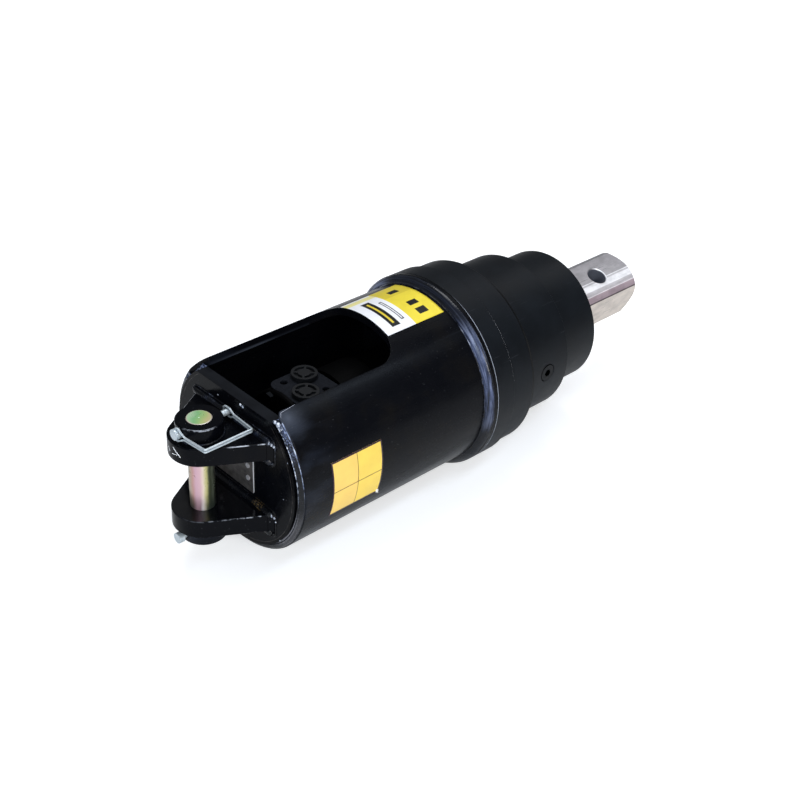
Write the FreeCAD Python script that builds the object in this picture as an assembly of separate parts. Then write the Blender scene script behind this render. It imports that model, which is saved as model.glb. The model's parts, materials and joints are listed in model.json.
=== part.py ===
import FreeCAD, Part
import math
import os

os.makedirs("parts", exist_ok=True)

V = FreeCAD.Vector

# Hydraulic auger drive for a backhoe, in millimetres.
# The origin is where the hitch pin crosses the drive axis.
# +X runs along the drive axis to the output shaft, +Z along the hitch pin.

# Hitch pin and its locking pins
pin_d = 31.75
pin_gap = 0.1
pin_end_chamfer = 1.2
lock_d = 8.0
lock_gap = 0.08
lock_head_d = 14.0
lock_head_len = 7.5
lock_head_gap = 0.3
lock_tip_x = 46.0
lock_tip_chamfer = 1.5
lock_low_out = 4.0
lock_inset = 9.5
eye_clear = 0.3
clip_stand_off = 4.0
wire_d = 2.6
wire_gap = 0.1
bail_reach = 50.0
bail_near_x = -27.5
bail_far_x = 40.0
bail_pinch = 1.7
bail_flare = 12.0

# Clevis ears and boss collars
clevis_gap = 82.0
clevis_drop = 4.0
ear_t = 25.0
ear_nose_r = 39.0
ear_root_clear = 15.3
boss_d = 58.0
boss_proj = 20.0
boss_chamfer = 1.6
ear_weld_leg = 7.0
ear_side_leg = 5.0
boss_weld_leg = 2.0
ear_edge = 1.0

# Hood: a tube with a hose window, closed by the hitch plate
hood_r = 127.0
hood_wall = 10.0
hood_x = 57.5
hood_len = 308.0
hood_edge_chamfer = 1.5
plate_proud = 8.0
plate_t = 16.0
plate_top_z = 91.5
plate_fit = 0.1
plate_weld_leg = 3.5
mouth_weld_rise = 5.6
window_half_w = 74.5
window_end = 199.0
window_corner_r = 35.0
window_mouth_r = 6.0
window_cut_len = 13.0
window_cut_y = 105.0
window_floor_z = 50.0
name_plate_w = 78.0
name_plate_clear = 5.5
name_plate_t = 1.0
name_plate_corner_r = 3.0
rivet_head_d = 6.8
rivet_head_h = 1.2
rivet_inset_y = 10.5
rivet_inset_z = 19.3

# Round casing sections, from the hood to the nose
flange_r = 137.5
base_ring_t = 10.0
flange_bevel = 5.0
flange_weld_toe = 4.0
input_len = 33.0
ring_case_r = 133.5
ring_case_len = 42.5
housing_r = 114.5
housing_len = 91.0
nose_r = 97.2
nose_len = 80.0
nose_chamfer = 2.5
case_edge = 0.8
case_head_clear = 8.0
case_bolt_count = 8
case_bolt_d = 12.0
case_bolt_depth = 22.0
bolt_gap = 0.5
thread_gap = 0.05
head_ratio = 1.5
socket_ratio = 0.86
hex_across_ratio = 1.6
hex_height_ratio = 0.64

# Hydraulic motor
motor_r = 62.0
motor_edge = 2.0
motor_step_drop = 8.5
motor_rear_x = 121.5
rear_cover_t = 6.0
valve_len = 75.0
gerotor_r = 60.0
gerotor_len = 34.0
front_r = 56.0
front_step_len = 18.0
front_taper_len = 8.0
pilot_r = 62.5
pilot_gap = 0.05
motor_flange_t = 14.0
motor_flange_half = 66.0
motor_flange_corner_r = 18.0
motor_bolt_r = 76.0
motor_bolt_d = 12.0
motor_bolt_bite = 4.0
rear_bolt_r = 52.0
rear_bolt_count = 7
rear_bolt_d = 10.0
rear_bolt_turn_deg = -19.3
rear_bolt_short = 13.0
short_bolt_clear = 0.5
rear_bolt_grip = 14.0
port_face_z = 60.0
port_block_x = 161.5
port_block_len = 68.0
port_block_half_w = 34.5
port_block_corner_r = 13.0
port_offset_x = 12.8
port_offset_y = 17.0
port_thread_r = 13.2
port_depth = 16.0
port_hole_x = 15.7
port_hole_y = 22.8
port_hole_r = 5.0
port_hole_depth = 15.0
cap_r = 17.2
cap_h = 7.0
cap_recess_r = 13.6
cap_recess_depth = 3.5
cap_hub_r = 8.5
cap_rib_w = 3.0
link_r = 9.0
link_gap = 0.4
link_neck_r = 7.0
link_bore_start = 12.0
link_end_gap = 2.0
link_spline_len = 22.0
link_taper_len = 6.0

# Planetary stages: module, teeth of sun, planet and ring
pressure_deg = 20.0
planet_count = 3
backlash = 0.5
first_module = 3.0
first_sun_teeth = 12
first_planet_teeth = 18
first_ring_teeth = 48
first_ring_r = 80.0
first_wall = 6.5
first_wall_bore_gap = 12.0
first_face = 14.0
second_module = 4.0
second_sun_teeth = 12
second_planet_teeth = 15
second_ring_teeth = 42
second_face = 29.0
stage_gap = 2.5
planet_bore_wall = 4.0
first_pin_r = 11.0
second_pin_r = 12.0
bush_gap = 0.06
carrier_one_t = 8.0
carrier_rim = 8.0
hub_step = 3.0
carrier_two_t = 14.0
carrier_two_hub_r = 55.0
pin_cap_t = 1.5
pin_cap_rim = 2.0
pin_cap_gap = 0.3

# Output shaft and its bearings
square_af = 75.0
square_corner_r = 47.5
square_turn_deg = 19.9
square_end_chamfer = 12.0
shaft_stick_out = 167.0
cross_hole_d = 29.0
cross_hole_from_end = 68.0
cross_hole_chamfer = 1.5
chamber_r = 78.0
bearing_w = 32.0
front_bearing_x = 572.0
front_bearing_bore_r = 50.0
front_bearing_od_r = 75.0
rear_bearing_x = 512.0
rear_bearing_bore_r = 45.0
rear_bearing_od_r = 70.0
bearing_tilt_deg = 13.0
roller_r = 6.2
roller_len = 21.0
roller_count = 10
roller_gap = 0.08
cup_wall = 3.0
cup_inset = 4.0
seal_land_r = 55.0
seal_outer_r = 78.0
seal_t = 12.0
seal_gap = 0.3
seal_inset = 2.0
seal_lip = 2.0
seal_rim = 5.0
shaft_mid_r = 46.5
shaft_spline_r = 38.0
shaft_rear_x = 455.0
fit_gap = 0.02
nut_r = 62.0
nut_t = 10.0
nut_clear = 4.0
nut_slot_w = 8.0
nut_slot_depth = 4.0

# Oil plugs in the housing wall
plug_from_seam = 49.5
plug_head_r = 12.0
plug_ring_gap = 1.2
plug_head_h = 4.5
plug_stand_off = 0.8
plug_thread_r = 8.0
plug_hex_af = 10.0
plug_hex_depth = 5.0

# Places that follow from the sizes above
ear_top_z = clevis_gap / 2 - clevis_drop
ear_low_z = -clevis_gap / 2 - clevis_drop
boss_top_z = ear_top_z + ear_t + boss_proj
boss_low_z = ear_low_z - ear_t - boss_proj
name_plate_h = clevis_gap - 2 * (ear_weld_leg + name_plate_clear)
lock_top_z = boss_top_z - lock_inset
lock_low_z = boss_low_z + lock_inset
plate_x = hood_x - plate_proud
hood_in_r = hood_r - hood_wall
case_bolt_r = hood_in_r - case_head_clear - case_bolt_d * head_ratio / 2
base_x = hood_x + hood_len
input_x = base_x + base_ring_t
ring_x = input_x + input_len
housing_x = ring_x + ring_case_len
nose_x = housing_x + housing_len
nose_end_x = nose_x + nose_len
shaft_end_x = nose_end_x + shaft_stick_out
valve_x = motor_rear_x + rear_cover_t
gerotor_x = valve_x + valve_len
front_x = gerotor_x + gerotor_len
motor_flange_x = base_x - motor_flange_t
first_gear_x = input_x + first_wall + stage_gap
carrier_one_x = first_gear_x + first_face + stage_gap
second_gear_x = ring_x + stage_gap * 2
carrier_two_x = second_gear_x + second_face + stage_gap
shaft_step_x = rear_bearing_x - nut_t - nut_clear
sun_one_root_r = first_module * (first_sun_teeth / 2 - 1.25)
sun_two_root_r = second_module * (second_sun_teeth / 2 - 1.25)
sun_two_hub_r = sun_two_root_r - hub_step
turn = math.radians(square_turn_deg)


def rod(x0, x1, r):
    """Cylinder along X."""
    return Part.makeCylinder(r, x1 - x0, V(x0, 0, 0), V(1, 0, 0))


def ring(x0, x1, r_out, r_in):
    return rod(x0, x1, r_out).cut(rod(x0 - 1, x1 + 1, r_in))


def post(x, y, z0, z1, r):
    """Cylinder along Z."""
    return Part.makeCylinder(r, z1 - z0, V(x, y, z0), V(0, 0, 1))


def turned(points):
    """Solid of revolution about X from (x, r) points."""
    loop = [V(x, 0, r) for x, r in points]
    face = Part.Face(Part.makePolygon(loop + loop[:1]))
    return face.revolve(V(0, 0, 0), V(1, 0, 0), 360)


def about_x(shape, degrees):
    copy = shape.copy()
    copy.rotate(V(0, 0, 0), V(1, 0, 0), degrees)
    return copy


def cut_all(shape, tools):
    for tool in tools:
        shape = shape.cut(tool)
    return shape


def circle_of(x0, x1, r, on_r, count, start_deg=0.0):
    """Rods along X, spaced on a circle."""
    rods = []
    for i in range(count):
        rods.append(about_x(rod(x0, x1, r).translated(V(0, 0, on_r)), start_deg + i * 360.0 / count))
    return rods


def prism_z(outline, z0, height):
    return Part.Face(outline).extrude(V(0, 0, height)).translated(V(0, 0, z0))


def rounded_rectangle(half_x, half_y, corner):
    """Closed wire in the XY plane, centred on the origin."""
    box = Part.makeBox(2 * half_x, 2 * half_y, 1, V(-half_x, -half_y, 0))
    uprights = [e for e in box.Edges if abs(e.BoundBox.ZLength - 1) < 1e-6]
    soft = box.makeFillet(corner, uprights)
    floor = min(soft.Faces, key=lambda f: f.CenterOfMass.z)
    return floor.OuterWire


def hexagon_prism(af, z0, height):
    corner = af / 2 / math.cos(math.pi / 6)
    pts = []
    for i in range(7):
        pts.append(V(corner * math.cos(i * math.pi / 3), corner * math.sin(i * math.pi / 3), 0))
    return prism_z(Part.makePolygon(pts), z0, height)


def cap_screw(x_head, length, d):
    """Socket head screw along +X, its head's bearing face at x_head."""
    head = rod(x_head - d, x_head, d * head_ratio / 2)
    hexagon = hexagon_prism(d * socket_ratio, 0, d * 0.5)
    hexagon.rotate(V(0, 0, 0), V(0, 1, 0), 90)
    head = head.cut(hexagon.translated(V(x_head - d, 0, 0)))
    return head.fuse(rod(x_head, x_head + length, d / 2)).removeSplitter()


def screws_on_circle(x_head, length, d, on_r, count, start_deg):
    one = cap_screw(x_head, length, d)
    placed = []
    for i in range(count):
        placed.append(about_x(one.translated(V(0, 0, on_r)), start_deg + i * 360.0 / count))
    return Part.makeCompound(placed)


# Hitch
def ear_root_half():
    """Half an ear's width at the plate, kept inside the plate's edge at the outer face."""
    reach = hood_in_r - ear_root_clear
    face_z = clevis_gap / 2 + clevis_drop + ear_t
    return math.sqrt(reach ** 2 - face_z ** 2)


def ear_slope():
    """Angle of a flank that is tangent to the nose and ends at the root."""
    root_y = ear_root_half()
    return math.atan2(root_y, plate_x) - math.asin(ear_nose_r / math.hypot(plate_x, root_y))


def ear_outline():
    """Round nose about the pin, with flanks tangent to it that open to the hitch plate."""
    root_y = ear_root_half()
    slope = ear_slope()
    nose_x = -ear_nose_r * math.sin(slope)
    nose_y = ear_nose_r * math.cos(slope)
    nose = Part.Arc(V(nose_x, nose_y, 0), V(-ear_nose_r, 0, 0), V(nose_x, -nose_y, 0)).toShape()
    low = Part.makeLine(V(nose_x, -nose_y, 0), V(plate_x, -root_y, 0))
    root = Part.makeLine(V(plate_x, -root_y, 0), V(plate_x, root_y, 0))
    high = Part.makeLine(V(plate_x, root_y, 0), V(nose_x, nose_y, 0))
    return Part.Wire([nose, low, root, high])


def ear(z0):
    body = prism_z(ear_outline(), z0, ear_t)
    outline = [e for e in body.Edges if e.BoundBox.ZLength < 1e-6 and e.BoundBox.XMin < plate_x - 1]
    body = body.makeChamfer(ear_edge, outline)
    return body.cut(post(0, 0, z0 - 1, z0 + ear_t + 1, pin_d / 2 + pin_gap))


def boss(z0, lock_z, open_up):
    z1 = z0 + boss_proj
    body = post(0, 0, z0, z1, boss_d / 2)
    rim = [e for e in body.Edges if abs(e.BoundBox.ZMin - (z1 if open_up else z0)) < 1e-6
           and e.BoundBox.ZLength < 1e-6]
    body = body.makeChamfer(boss_chamfer, rim)
    body = body.cut(post(0, 0, z0 - 1, z1 + 1, pin_d / 2 + pin_gap))
    return body.cut(lock_hole(lock_z))


def lock_hole(z):
    hole = rod(-boss_d, boss_d, lock_d / 2 + lock_gap)
    return hole.translated(V(0, 0, z))


def hitch_pin():
    body = post(0, 0, boss_low_z, boss_top_z, pin_d / 2)
    rims = [e for e in body.Edges if e.BoundBox.ZLength < 1e-6]
    body = body.makeChamfer(pin_end_chamfer, rims)
    body = body.cut(lock_hole(lock_top_z)).cut(lock_hole(lock_low_z))
    punch = Part.makeCone(0, 1.5, 1.5, V(0, 0, boss_top_z - 1.4), V(0, 0, 1))
    return body.cut(punch)


def lock_head_x():
    return -boss_d / 2 - lock_head_gap - lock_head_len


def headed_pin():
    x0 = lock_head_x()
    tip = lock_tip_chamfer
    return turned([(x0, 0), (x0, lock_head_d / 2), (x0 + lock_head_len, lock_head_d / 2),
                   (x0 + lock_head_len, lock_d / 2), (lock_tip_x - tip, lock_d / 2),
                   (lock_tip_x, lock_d / 2 - tip), (lock_tip_x, 0)])


def lock_pin_upper():
    """Headed pin whose head has an eye for the bail."""
    eye = post(lock_head_x() + lock_head_len / 2, 0, -lock_head_d, lock_head_d, wire_d / 2 + wire_gap)
    return headed_pin().cut(eye).translated(V(0, 0, lock_top_z))


def clip_x():
    return boss_d / 2 + clip_stand_off


def lock_pin_lower():
    """The same pin, further out, with a cross hole for the spring clip beyond the boss."""
    hole = Part.makeCylinder(wire_d / 2 + wire_gap, lock_d + 2, V(clip_x(), -lock_d / 2 - 1, 0), V(0, 1, 0))
    return headed_pin().translated(V(-lock_low_out, 0, 0)).cut(hole).translated(V(0, 0, lock_low_z))


def bail_route(side):
    """One wire: out of the head's eye, along the pinched pair, round the tip and back."""
    eye_x = lock_head_x() + lock_head_len / 2
    out_z = lock_head_d / 2 + wire_d / 2 + eye_clear
    clear = lock_d / 2 + wire_d * 0.75
    half = [(eye_x, 0, lock_d / 2), (eye_x, 0, out_z), (eye_x + 0.4, side * 3.2, out_z),
            (eye_x + 1.8, side * bail_flare * 1.2, bail_pinch),
            (bail_near_x, side * bail_reach, bail_pinch), (bail_far_x, side * bail_reach, bail_pinch),
            (bail_far_x + 1.4, side * bail_flare, bail_pinch), (bail_far_x + 1.6, side * 5.0, clear),
            (bail_far_x + 1.6, -side * 4.5, clear), (bail_far_x + 1.6, -side * 8.0, clear * 0.45)]
    mirrored = [(x, y, -z) for x, y, z in reversed(half)]
    return [V(*p) for p in half + mirrored]


def bent_wire(route, across, beside):
    """Eight-sided wire along the route; its first run is square to both given directions."""
    pts = []
    for i in range(9):
        a = math.radians(22.5 + 45 * i)
        pts.append(route[0] + across * (wire_d / 2 * math.cos(a)) + beside * (wire_d / 2 * math.sin(a)))
    return Part.makePolygon(route).makePipeShell([Part.makePolygon(pts)], True, False, 1)


def lock_bail():
    wire = bent_wire(bail_route(-1), V(1, 0, 0), V(0, 1, 0))
    return wire.translated(V(0, 0, lock_top_z))


def lock_clip():
    """Spring clip: one leg through the lower lock pin, the other bowed round its underside."""
    x = clip_x()
    bow = lock_d / 2 + wire_d * 0.8
    side_view = [(-12, 0), (22, 0), (28, -3), (28, -8), (23, -10.5), (10, -bow), (4, -bow), (-4, -bow),
                 (-9, -bow + 2.2), (-14, -bow)]
    route = [V(x, y, z) for y, z in side_view]
    return bent_wire(route, V(1, 0, 0), V(0, 0, 1)).translated(V(0, 0, lock_low_z))


# Hood
def window_cutter():
    """Seen from above: a slot open at the plate end, its near mouth rounded, its far one cut slanting."""
    x0 = hood_x
    x2 = hood_x + window_end - window_corner_r
    x3 = hood_x + window_end
    w = window_half_w
    m = window_mouth_r
    c = window_corner_r
    bow = math.sqrt(0.5)
    mid = V(x0 + m - m * bow, -w - m + m * bow, 0)
    edges = [Part.Arc(V(x0, -w - m, 0), mid, V(x0 + m, -w, 0)).toShape(),
             Part.makeLine(V(x0 + m, -w, 0), V(x2, -w, 0))]
    for s in (1, -1):
        corner = Part.Arc(V(x2, s * w, 0), V(x2 + c * bow, s * (w - c + c * bow), 0), V(x3, s * (w - c), 0))
        edges.append(corner.toShape())
    rest = [V(x2, w, 0), V(x0 + window_cut_len, w, 0), V(x0, window_cut_y, 0), V(x0 - 5, window_cut_y, 0),
            V(x0 - 5, -w - m, 0), V(x0, -w - m, 0)]
    for a, b in zip(rest, rest[1:]):
        edges.append(Part.makeLine(a, b))
    edges.append(Part.makeLine(V(x3, w - c, 0), V(x3, c - w, 0)))
    outline = Part.Wire(Part.__sortEdges__(edges))
    return prism_z(outline, window_floor_z, hood_r)


def hood_tube():
    c = hood_edge_chamfer
    body = turned([(hood_x, hood_in_r), (hood_x, hood_r - c), (hood_x + c, hood_r),
                   (base_x, hood_r), (base_x, hood_in_r)])
    return body.cut(window_cutter())


def above_plate():
    size = 4 * hood_r
    return Part.makeBox(size, size, size, V(-size / 2, -size / 2, plate_top_z))


def hitch_plate():
    disc = rod(plate_x, plate_x + plate_t, hood_in_r - plate_fit)
    return disc.cut(above_plate())


def plate_weld():
    """Fillet in the corner of the plate's proud edge and the tube's end, and a flatter one in the mouths."""
    r = hood_in_r - plate_fit
    x0 = hood_x - plate_weld_leg
    x1 = plate_x + plate_t
    size = 4 * hood_r
    cut_z = math.sqrt(hood_r ** 2 - window_cut_y ** 2)
    bead = turned([(hood_x, r), (x0, r), (hood_x, hood_r - hood_edge_chamfer)])
    bead = bead.cut(Part.makeBox(size, size, size, V(-size / 2, 0, cut_z)))
    filler = turned([(x0, r), (x1, r), (x1, r + mouth_weld_rise)]).common(window_cutter())
    return bead.fuse(filler).cut(above_plate()).removeSplitter()


def flange_weld():
    """Weld in the base ring's bevel, running out on the tube."""
    return turned([(base_x - flange_weld_toe, hood_r), (base_x, hood_r), (base_x + flange_bevel, flange_r)])


def fillet_strip(length, leg):
    """Triangular bead along +Y, its corner on the Y axis, legs along -X and +Z."""
    pts = [V(0, 0, 0), V(-leg, 0, 0), V(0, 0, leg), V(0, 0, 0)]
    return Part.Face(Part.makePolygon(pts)).extrude(V(0, length, 0))


def ear_welds():
    """Fillet beads along both faces of each ear's root, and around each boss's foot."""
    length = 2 * (ear_root_half() - ear_weld_leg)
    beads = []
    for face_z, up in ((ear_top_z + ear_t, 1), (ear_top_z, -1), (ear_low_z, 1), (ear_low_z - ear_t, -1)):
        strip = fillet_strip(length, ear_weld_leg)
        if up < 0:
            strip = strip.mirror(V(0, 0, 0), V(0, 0, 1))
        beads.append(strip.translated(V(plate_x, -length / 2, face_z)))
    root_y = ear_root_half()
    back = ear_side_leg * math.tan(ear_slope())
    corner = [V(plate_x, root_y, 0), V(plate_x, root_y + ear_side_leg, 0),
              V(plate_x - ear_side_leg, root_y - back, 0), V(plate_x, root_y, 0)]
    for z0 in (ear_top_z, ear_low_z - ear_t):
        side = prism_z(Part.makePolygon(corner), z0 + ear_edge, ear_t - 2 * ear_edge)
        beads.append(side)
        beads.append(side.mirror(V(0, 0, 0), V(0, 1, 0)))
    for face_z, up in ((ear_top_z + ear_t, 1), (ear_low_z - ear_t, -1)):
        foot = Part.makeCone(boss_d / 2 + boss_weld_leg, boss_d / 2, boss_weld_leg,
                             V(0, 0, face_z), V(0, 0, up))
        beads.append(foot.cut(post(0, 0, face_z - boss_d, face_z + boss_d, boss_d / 2)))
    return Part.makeCompound(beads)


def name_plate():
    sheet = prism_z(rounded_rectangle(name_plate_h / 2, name_plate_w / 2, name_plate_corner_r),
                    0, name_plate_t)
    sheet.rotate(V(0, 0, 0), V(0, 1, 0), -90)
    return sheet.translated(V(plate_x, 0, -clevis_drop))


def name_plate_rivets():
    """Drive rivets, of which only the heads stand out, on the plate's face."""
    rivets = []
    x1 = plate_x - name_plate_t
    for sy in (-1, 1):
        for sz in (-1, 1):
            y = sy * (name_plate_w / 2 - rivet_inset_y)
            z = -clevis_drop + sz * (name_plate_h / 2 - rivet_inset_z)
            rivets.append(rod(x1 - rivet_head_h, x1, rivet_head_d / 2).translated(V(0, y, z)))
    return Part.makeCompound(rivets)


# Casing
def case_bolt_holes(x0, x1, gap):
    start = 180.0 / case_bolt_count
    return circle_of(x0, x1, case_bolt_d / 2 + gap, case_bolt_r, case_bolt_count, start)


def rear_bolt_holes(x0, x1, gap):
    return circle_of(x0, x1, rear_bolt_d / 2 + gap, rear_bolt_r, rear_bolt_count, rear_bolt_turn_deg)


def motor_bolt_holes(x0, x1, gap):
    return circle_of(x0, x1, motor_bolt_d / 2 + gap, motor_bolt_r, 4, 45.0)


def base_ring():
    bore = pilot_r + pilot_gap
    body = turned([(base_x, bore), (base_x, hood_r), (base_x + flange_bevel, flange_r),
                   (input_x - case_edge, flange_r), (input_x, flange_r - case_edge), (input_x, bore)])
    body = cut_all(body, case_bolt_holes(base_x - 1, input_x + 1, bolt_gap))
    return cut_all(body, motor_bolt_holes(base_x - 1, input_x + 1, thread_gap))


def input_housing():
    wall_x = input_x + first_wall
    e = case_edge
    bore = sun_one_root_r + first_wall_bore_gap
    body = turned([(input_x, bore), (input_x, flange_r - e), (input_x + e, flange_r), (ring_x - e, flange_r),
                   (ring_x, flange_r - e), (ring_x, first_ring_r + thread_gap),
                   (wall_x, first_ring_r + thread_gap), (wall_x, bore)])
    body = cut_all(body, case_bolt_holes(input_x - 1, ring_x + 1, bolt_gap))
    screw_end = input_x + motor_bolt_bite + bolt_gap
    return cut_all(body, motor_bolt_holes(input_x - 1, screw_end, thread_gap))


def output_housing():
    """Bearing housing: carrier chamber, rear cup seat, oil space, front cup seat, seal seat."""
    rear_end = rear_bearing_x + bearing_w
    front_end = front_bearing_x + bearing_w
    rear_seat = rear_bearing_od_r + thread_gap
    front_seat = front_bearing_od_r + thread_gap
    waist = rear_bearing_od_r - cup_wall * 2
    seat_x = nose_end_x - seal_inset - seal_t
    seal_seat = seal_outer_r + thread_gap
    e = case_edge
    body = turned([(housing_x, chamber_r), (housing_x, housing_r - e), (housing_x + e, housing_r),
                   (nose_x - e, housing_r), (nose_x, housing_r - e), (nose_x, nose_r),
                   (nose_end_x - nose_chamfer, nose_r),
                   (nose_end_x, nose_r - nose_chamfer), (nose_end_x, seal_seat), (seat_x, seal_seat),
                   (seat_x, front_seat), (front_bearing_x, front_seat), (front_bearing_x, waist),
                   (rear_end, waist), (rear_end, rear_seat), (rear_bearing_x, rear_seat),
                   (rear_bearing_x, chamber_r)])
    depth = housing_x + case_bolt_depth
    body = cut_all(body, case_bolt_holes(housing_x - 1, depth + 2, thread_gap))
    x = housing_x + plug_from_seam
    seat_r = plug_head_r + plug_ring_gap
    for s in (-1, 1):
        seat = Part.makeCylinder(seat_r, housing_r, V(x, s * plug_seat_r(), 0), V(0, s, 0))
        bore = Part.makeCylinder(plug_thread_r + thread_gap, housing_r, V(x, 0, 0), V(0, s, 0))
        body = body.cut(seat).cut(bore)
    return body


def plug_seat_r():
    """Distance from the axis to the flat floor of a plug's counterbore."""
    rim = plug_head_r + plug_ring_gap
    return math.sqrt(housing_r ** 2 - rim ** 2) - plug_head_h + plug_stand_off


def oil_plugs():
    plugs = []
    x = housing_x + plug_from_seam
    for s in (-1, 1):
        low = plug_seat_r()
        head = post(x, 0, low, low + plug_head_h, plug_head_r)
        thread = post(x, 0, chamber_r + 2, low, plug_thread_r)
        hexagon = hexagon_prism(plug_hex_af, low + plug_head_h - plug_hex_depth, plug_hex_depth + 1)
        plug = head.fuse(thread).removeSplitter().cut(hexagon.translated(V(x, 0, 0)))
        plug.rotate(V(0, 0, 0), V(1, 0, 0), -90 * s)
        plugs.append(plug)
    return Part.makeCompound(plugs)


def casing_bolts():
    length = housing_x + case_bolt_depth - base_x
    start = 180.0 / case_bolt_count
    return screws_on_circle(base_x, length, case_bolt_d, case_bolt_r, case_bolt_count, start)


# Motor
def port_places():
    return [(port_block_x + s * port_offset_x, s * port_offset_y) for s in (1, -1)]


def port_hole_places():
    return [(port_block_x + s * port_hole_x, -s * port_hole_y) for s in (1, -1)]


def motor_rear_cover():
    x0 = motor_rear_x
    body = turned([(x0, 0), (x0, motor_r - motor_edge), (x0 + motor_edge, motor_r), (valve_x, motor_r),
                   (valve_x, 0)])
    return cut_all(body, rear_bolt_holes(x0 - 1, valve_x + 1, bolt_gap))


def motor_valve_housing():
    """Round body with the raised port block and its two threaded ports."""
    body = rod(valve_x, gerotor_x, motor_r)
    block = prism_z(rounded_rectangle(port_block_len / 2, port_block_half_w, port_block_corner_r),
                    0, port_face_z)
    shelf_z = port_face_z - motor_step_drop
    body = body.cut(Part.makeBox(valve_len, 2 * motor_r, motor_r, V(valve_x, -motor_r, shelf_z)))
    body = body.fuse(block.translated(V(port_block_x, 0, 0))).removeSplitter()
    for x, y in port_places():
        body = body.cut(post(x, y, port_face_z - port_depth, port_face_z + 5, port_thread_r))
    for x, y in port_hole_places():
        body = body.cut(post(x, y, port_face_z - port_hole_depth, port_face_z + 5, port_hole_r))
    return cut_all(body, rear_bolt_tools(valve_x - 1, gerotor_x + 1, bolt_gap))


def motor_gerotor_ring():
    body = rod(gerotor_x, front_x, gerotor_r)
    return cut_all(body, rear_bolt_tools(gerotor_x - 1, front_x + 1, bolt_gap))


def motor_front_housing():
    """Front body with its square mounting flange, pilot and bore for the drive link."""
    step_end = front_x + front_step_len
    body = turned([(front_x, 0), (front_x, gerotor_r), (step_end, gerotor_r),
                   (step_end + front_taper_len, front_r), (motor_flange_x, front_r), (motor_flange_x, 0)])
    flange = prism_z(rounded_rectangle(motor_flange_half, motor_flange_half, motor_flange_corner_r),
                     0, motor_flange_t)
    flange.rotate(V(0, 0, 0), V(0, 1, 0), 90)
    body = body.fuse(flange.translated(V(motor_flange_x, 0, 0)))
    body = body.fuse(rod(base_x, input_x - 1, pilot_r)).removeSplitter()
    body = cut_all(body, motor_bolt_holes(motor_flange_x - 1, input_x + 1, bolt_gap))
    body = cut_all(body, rear_bolt_tools(front_x - 1, front_x + rear_bolt_grip + 2, thread_gap))
    return body.cut(rod(front_x + link_bore_start, input_x + 1, link_r + link_gap))


def beside_a_port(i):
    """The two bolts under the port block are short, so that they stop before the ports."""
    angle = rear_bolt_turn_deg + i * 360.0 / rear_bolt_count
    return rear_bolt_r * math.cos(math.radians(angle)) > port_face_z - port_depth - rear_bolt_d


def rear_bolt_tools(x0, x1, gap):
    """Holes along x0 to x1: in full for the long bolts, to their ends for the short ones."""
    tools = []
    short_end = motor_rear_x + rear_bolt_short
    for i, hole in enumerate(rear_bolt_holes(x0, x1, gap)):
        if not beside_a_port(i):
            tools.append(hole)
        elif x0 < short_end:
            tools.append(rear_bolt_holes(x0, short_end, thread_gap)[i])
    return tools


def hex_screw(x_head, length, d):
    """Hexagon head screw along +X, its head's bearing face at x_head."""
    height = d * hex_height_ratio
    head = hexagon_prism(d * hex_across_ratio, -height, height)
    head.rotate(V(0, 0, 0), V(0, 1, 0), 90)
    return head.translated(V(x_head, 0, 0)).fuse(rod(x_head, x_head + length, d / 2)).removeSplitter()


def motor_rear_bolts():
    """Long bolts through the whole motor, and short ones beside the ports."""
    long_one = hex_screw(motor_rear_x, front_x + rear_bolt_grip - motor_rear_x, rear_bolt_d)
    short_one = hex_screw(motor_rear_x, rear_bolt_short - short_bolt_clear, rear_bolt_d)
    bolts = []
    for i in range(rear_bolt_count):
        one = short_one if beside_a_port(i) else long_one
        angle = rear_bolt_turn_deg + i * 360.0 / rear_bolt_count
        bolts.append(about_x(one.translated(V(0, 0, rear_bolt_r)), angle))
    return Part.makeCompound(bolts)


def motor_mount_bolts():
    length = motor_flange_t + base_ring_t + motor_bolt_bite
    return screws_on_circle(motor_flange_x, length, motor_bolt_d, motor_bolt_r, 4, 45.0)


def port_cap():
    """Screw-in dust cap: round rim, sunk ring with four ribs, raised hub."""
    body = post(0, 0, 0, cap_h, cap_r)
    sunk = post(0, 0, cap_h - cap_recess_depth, cap_h + 1, cap_recess_r)
    sunk = sunk.cut(post(0, 0, 0, cap_h + 2, cap_hub_r))
    for i in range(2):
        rib = Part.makeBox(2 * cap_recess_r, cap_rib_w, cap_h + 2, V(-cap_recess_r, -cap_rib_w / 2, 0))
        rib.rotate(V(0, 0, 0), V(0, 0, 1), 45 + 90 * i)
        sunk = sunk.cut(rib)
    body = body.cut(sunk)
    return body.fuse(post(0, 0, -port_depth * 0.6, 0, port_thread_r - thread_gap)).removeSplitter()


def drive_link():
    """Splined link between the motor's rotor and the first sun."""
    x0 = front_x + link_bore_start + link_end_gap
    x1 = first_gear_x + first_face
    neck_start = x0 + link_spline_len + link_taper_len
    neck_end = first_gear_x - 2 * link_taper_len
    return turned([(x0, 0), (x0, link_r), (x0 + link_spline_len, link_r), (neck_start, link_neck_r),
                   (neck_end, link_neck_r), (neck_end + link_taper_len, link_r), (x1, link_r), (x1, 0)])


# Gear train
def involute(a):
    return math.tan(a) - a


def half_angle(r, pitch_r, teeth, thinning):
    """Half of a tooth's angle at radius r."""
    pressure = math.radians(pressure_deg)
    base_r = pitch_r * math.cos(pressure)
    at = math.acos(min(1.0, base_r / max(r, base_r)))
    return (math.pi / 2 - thinning / pitch_r * teeth / 2) / teeth + involute(pressure) - involute(at)


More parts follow.
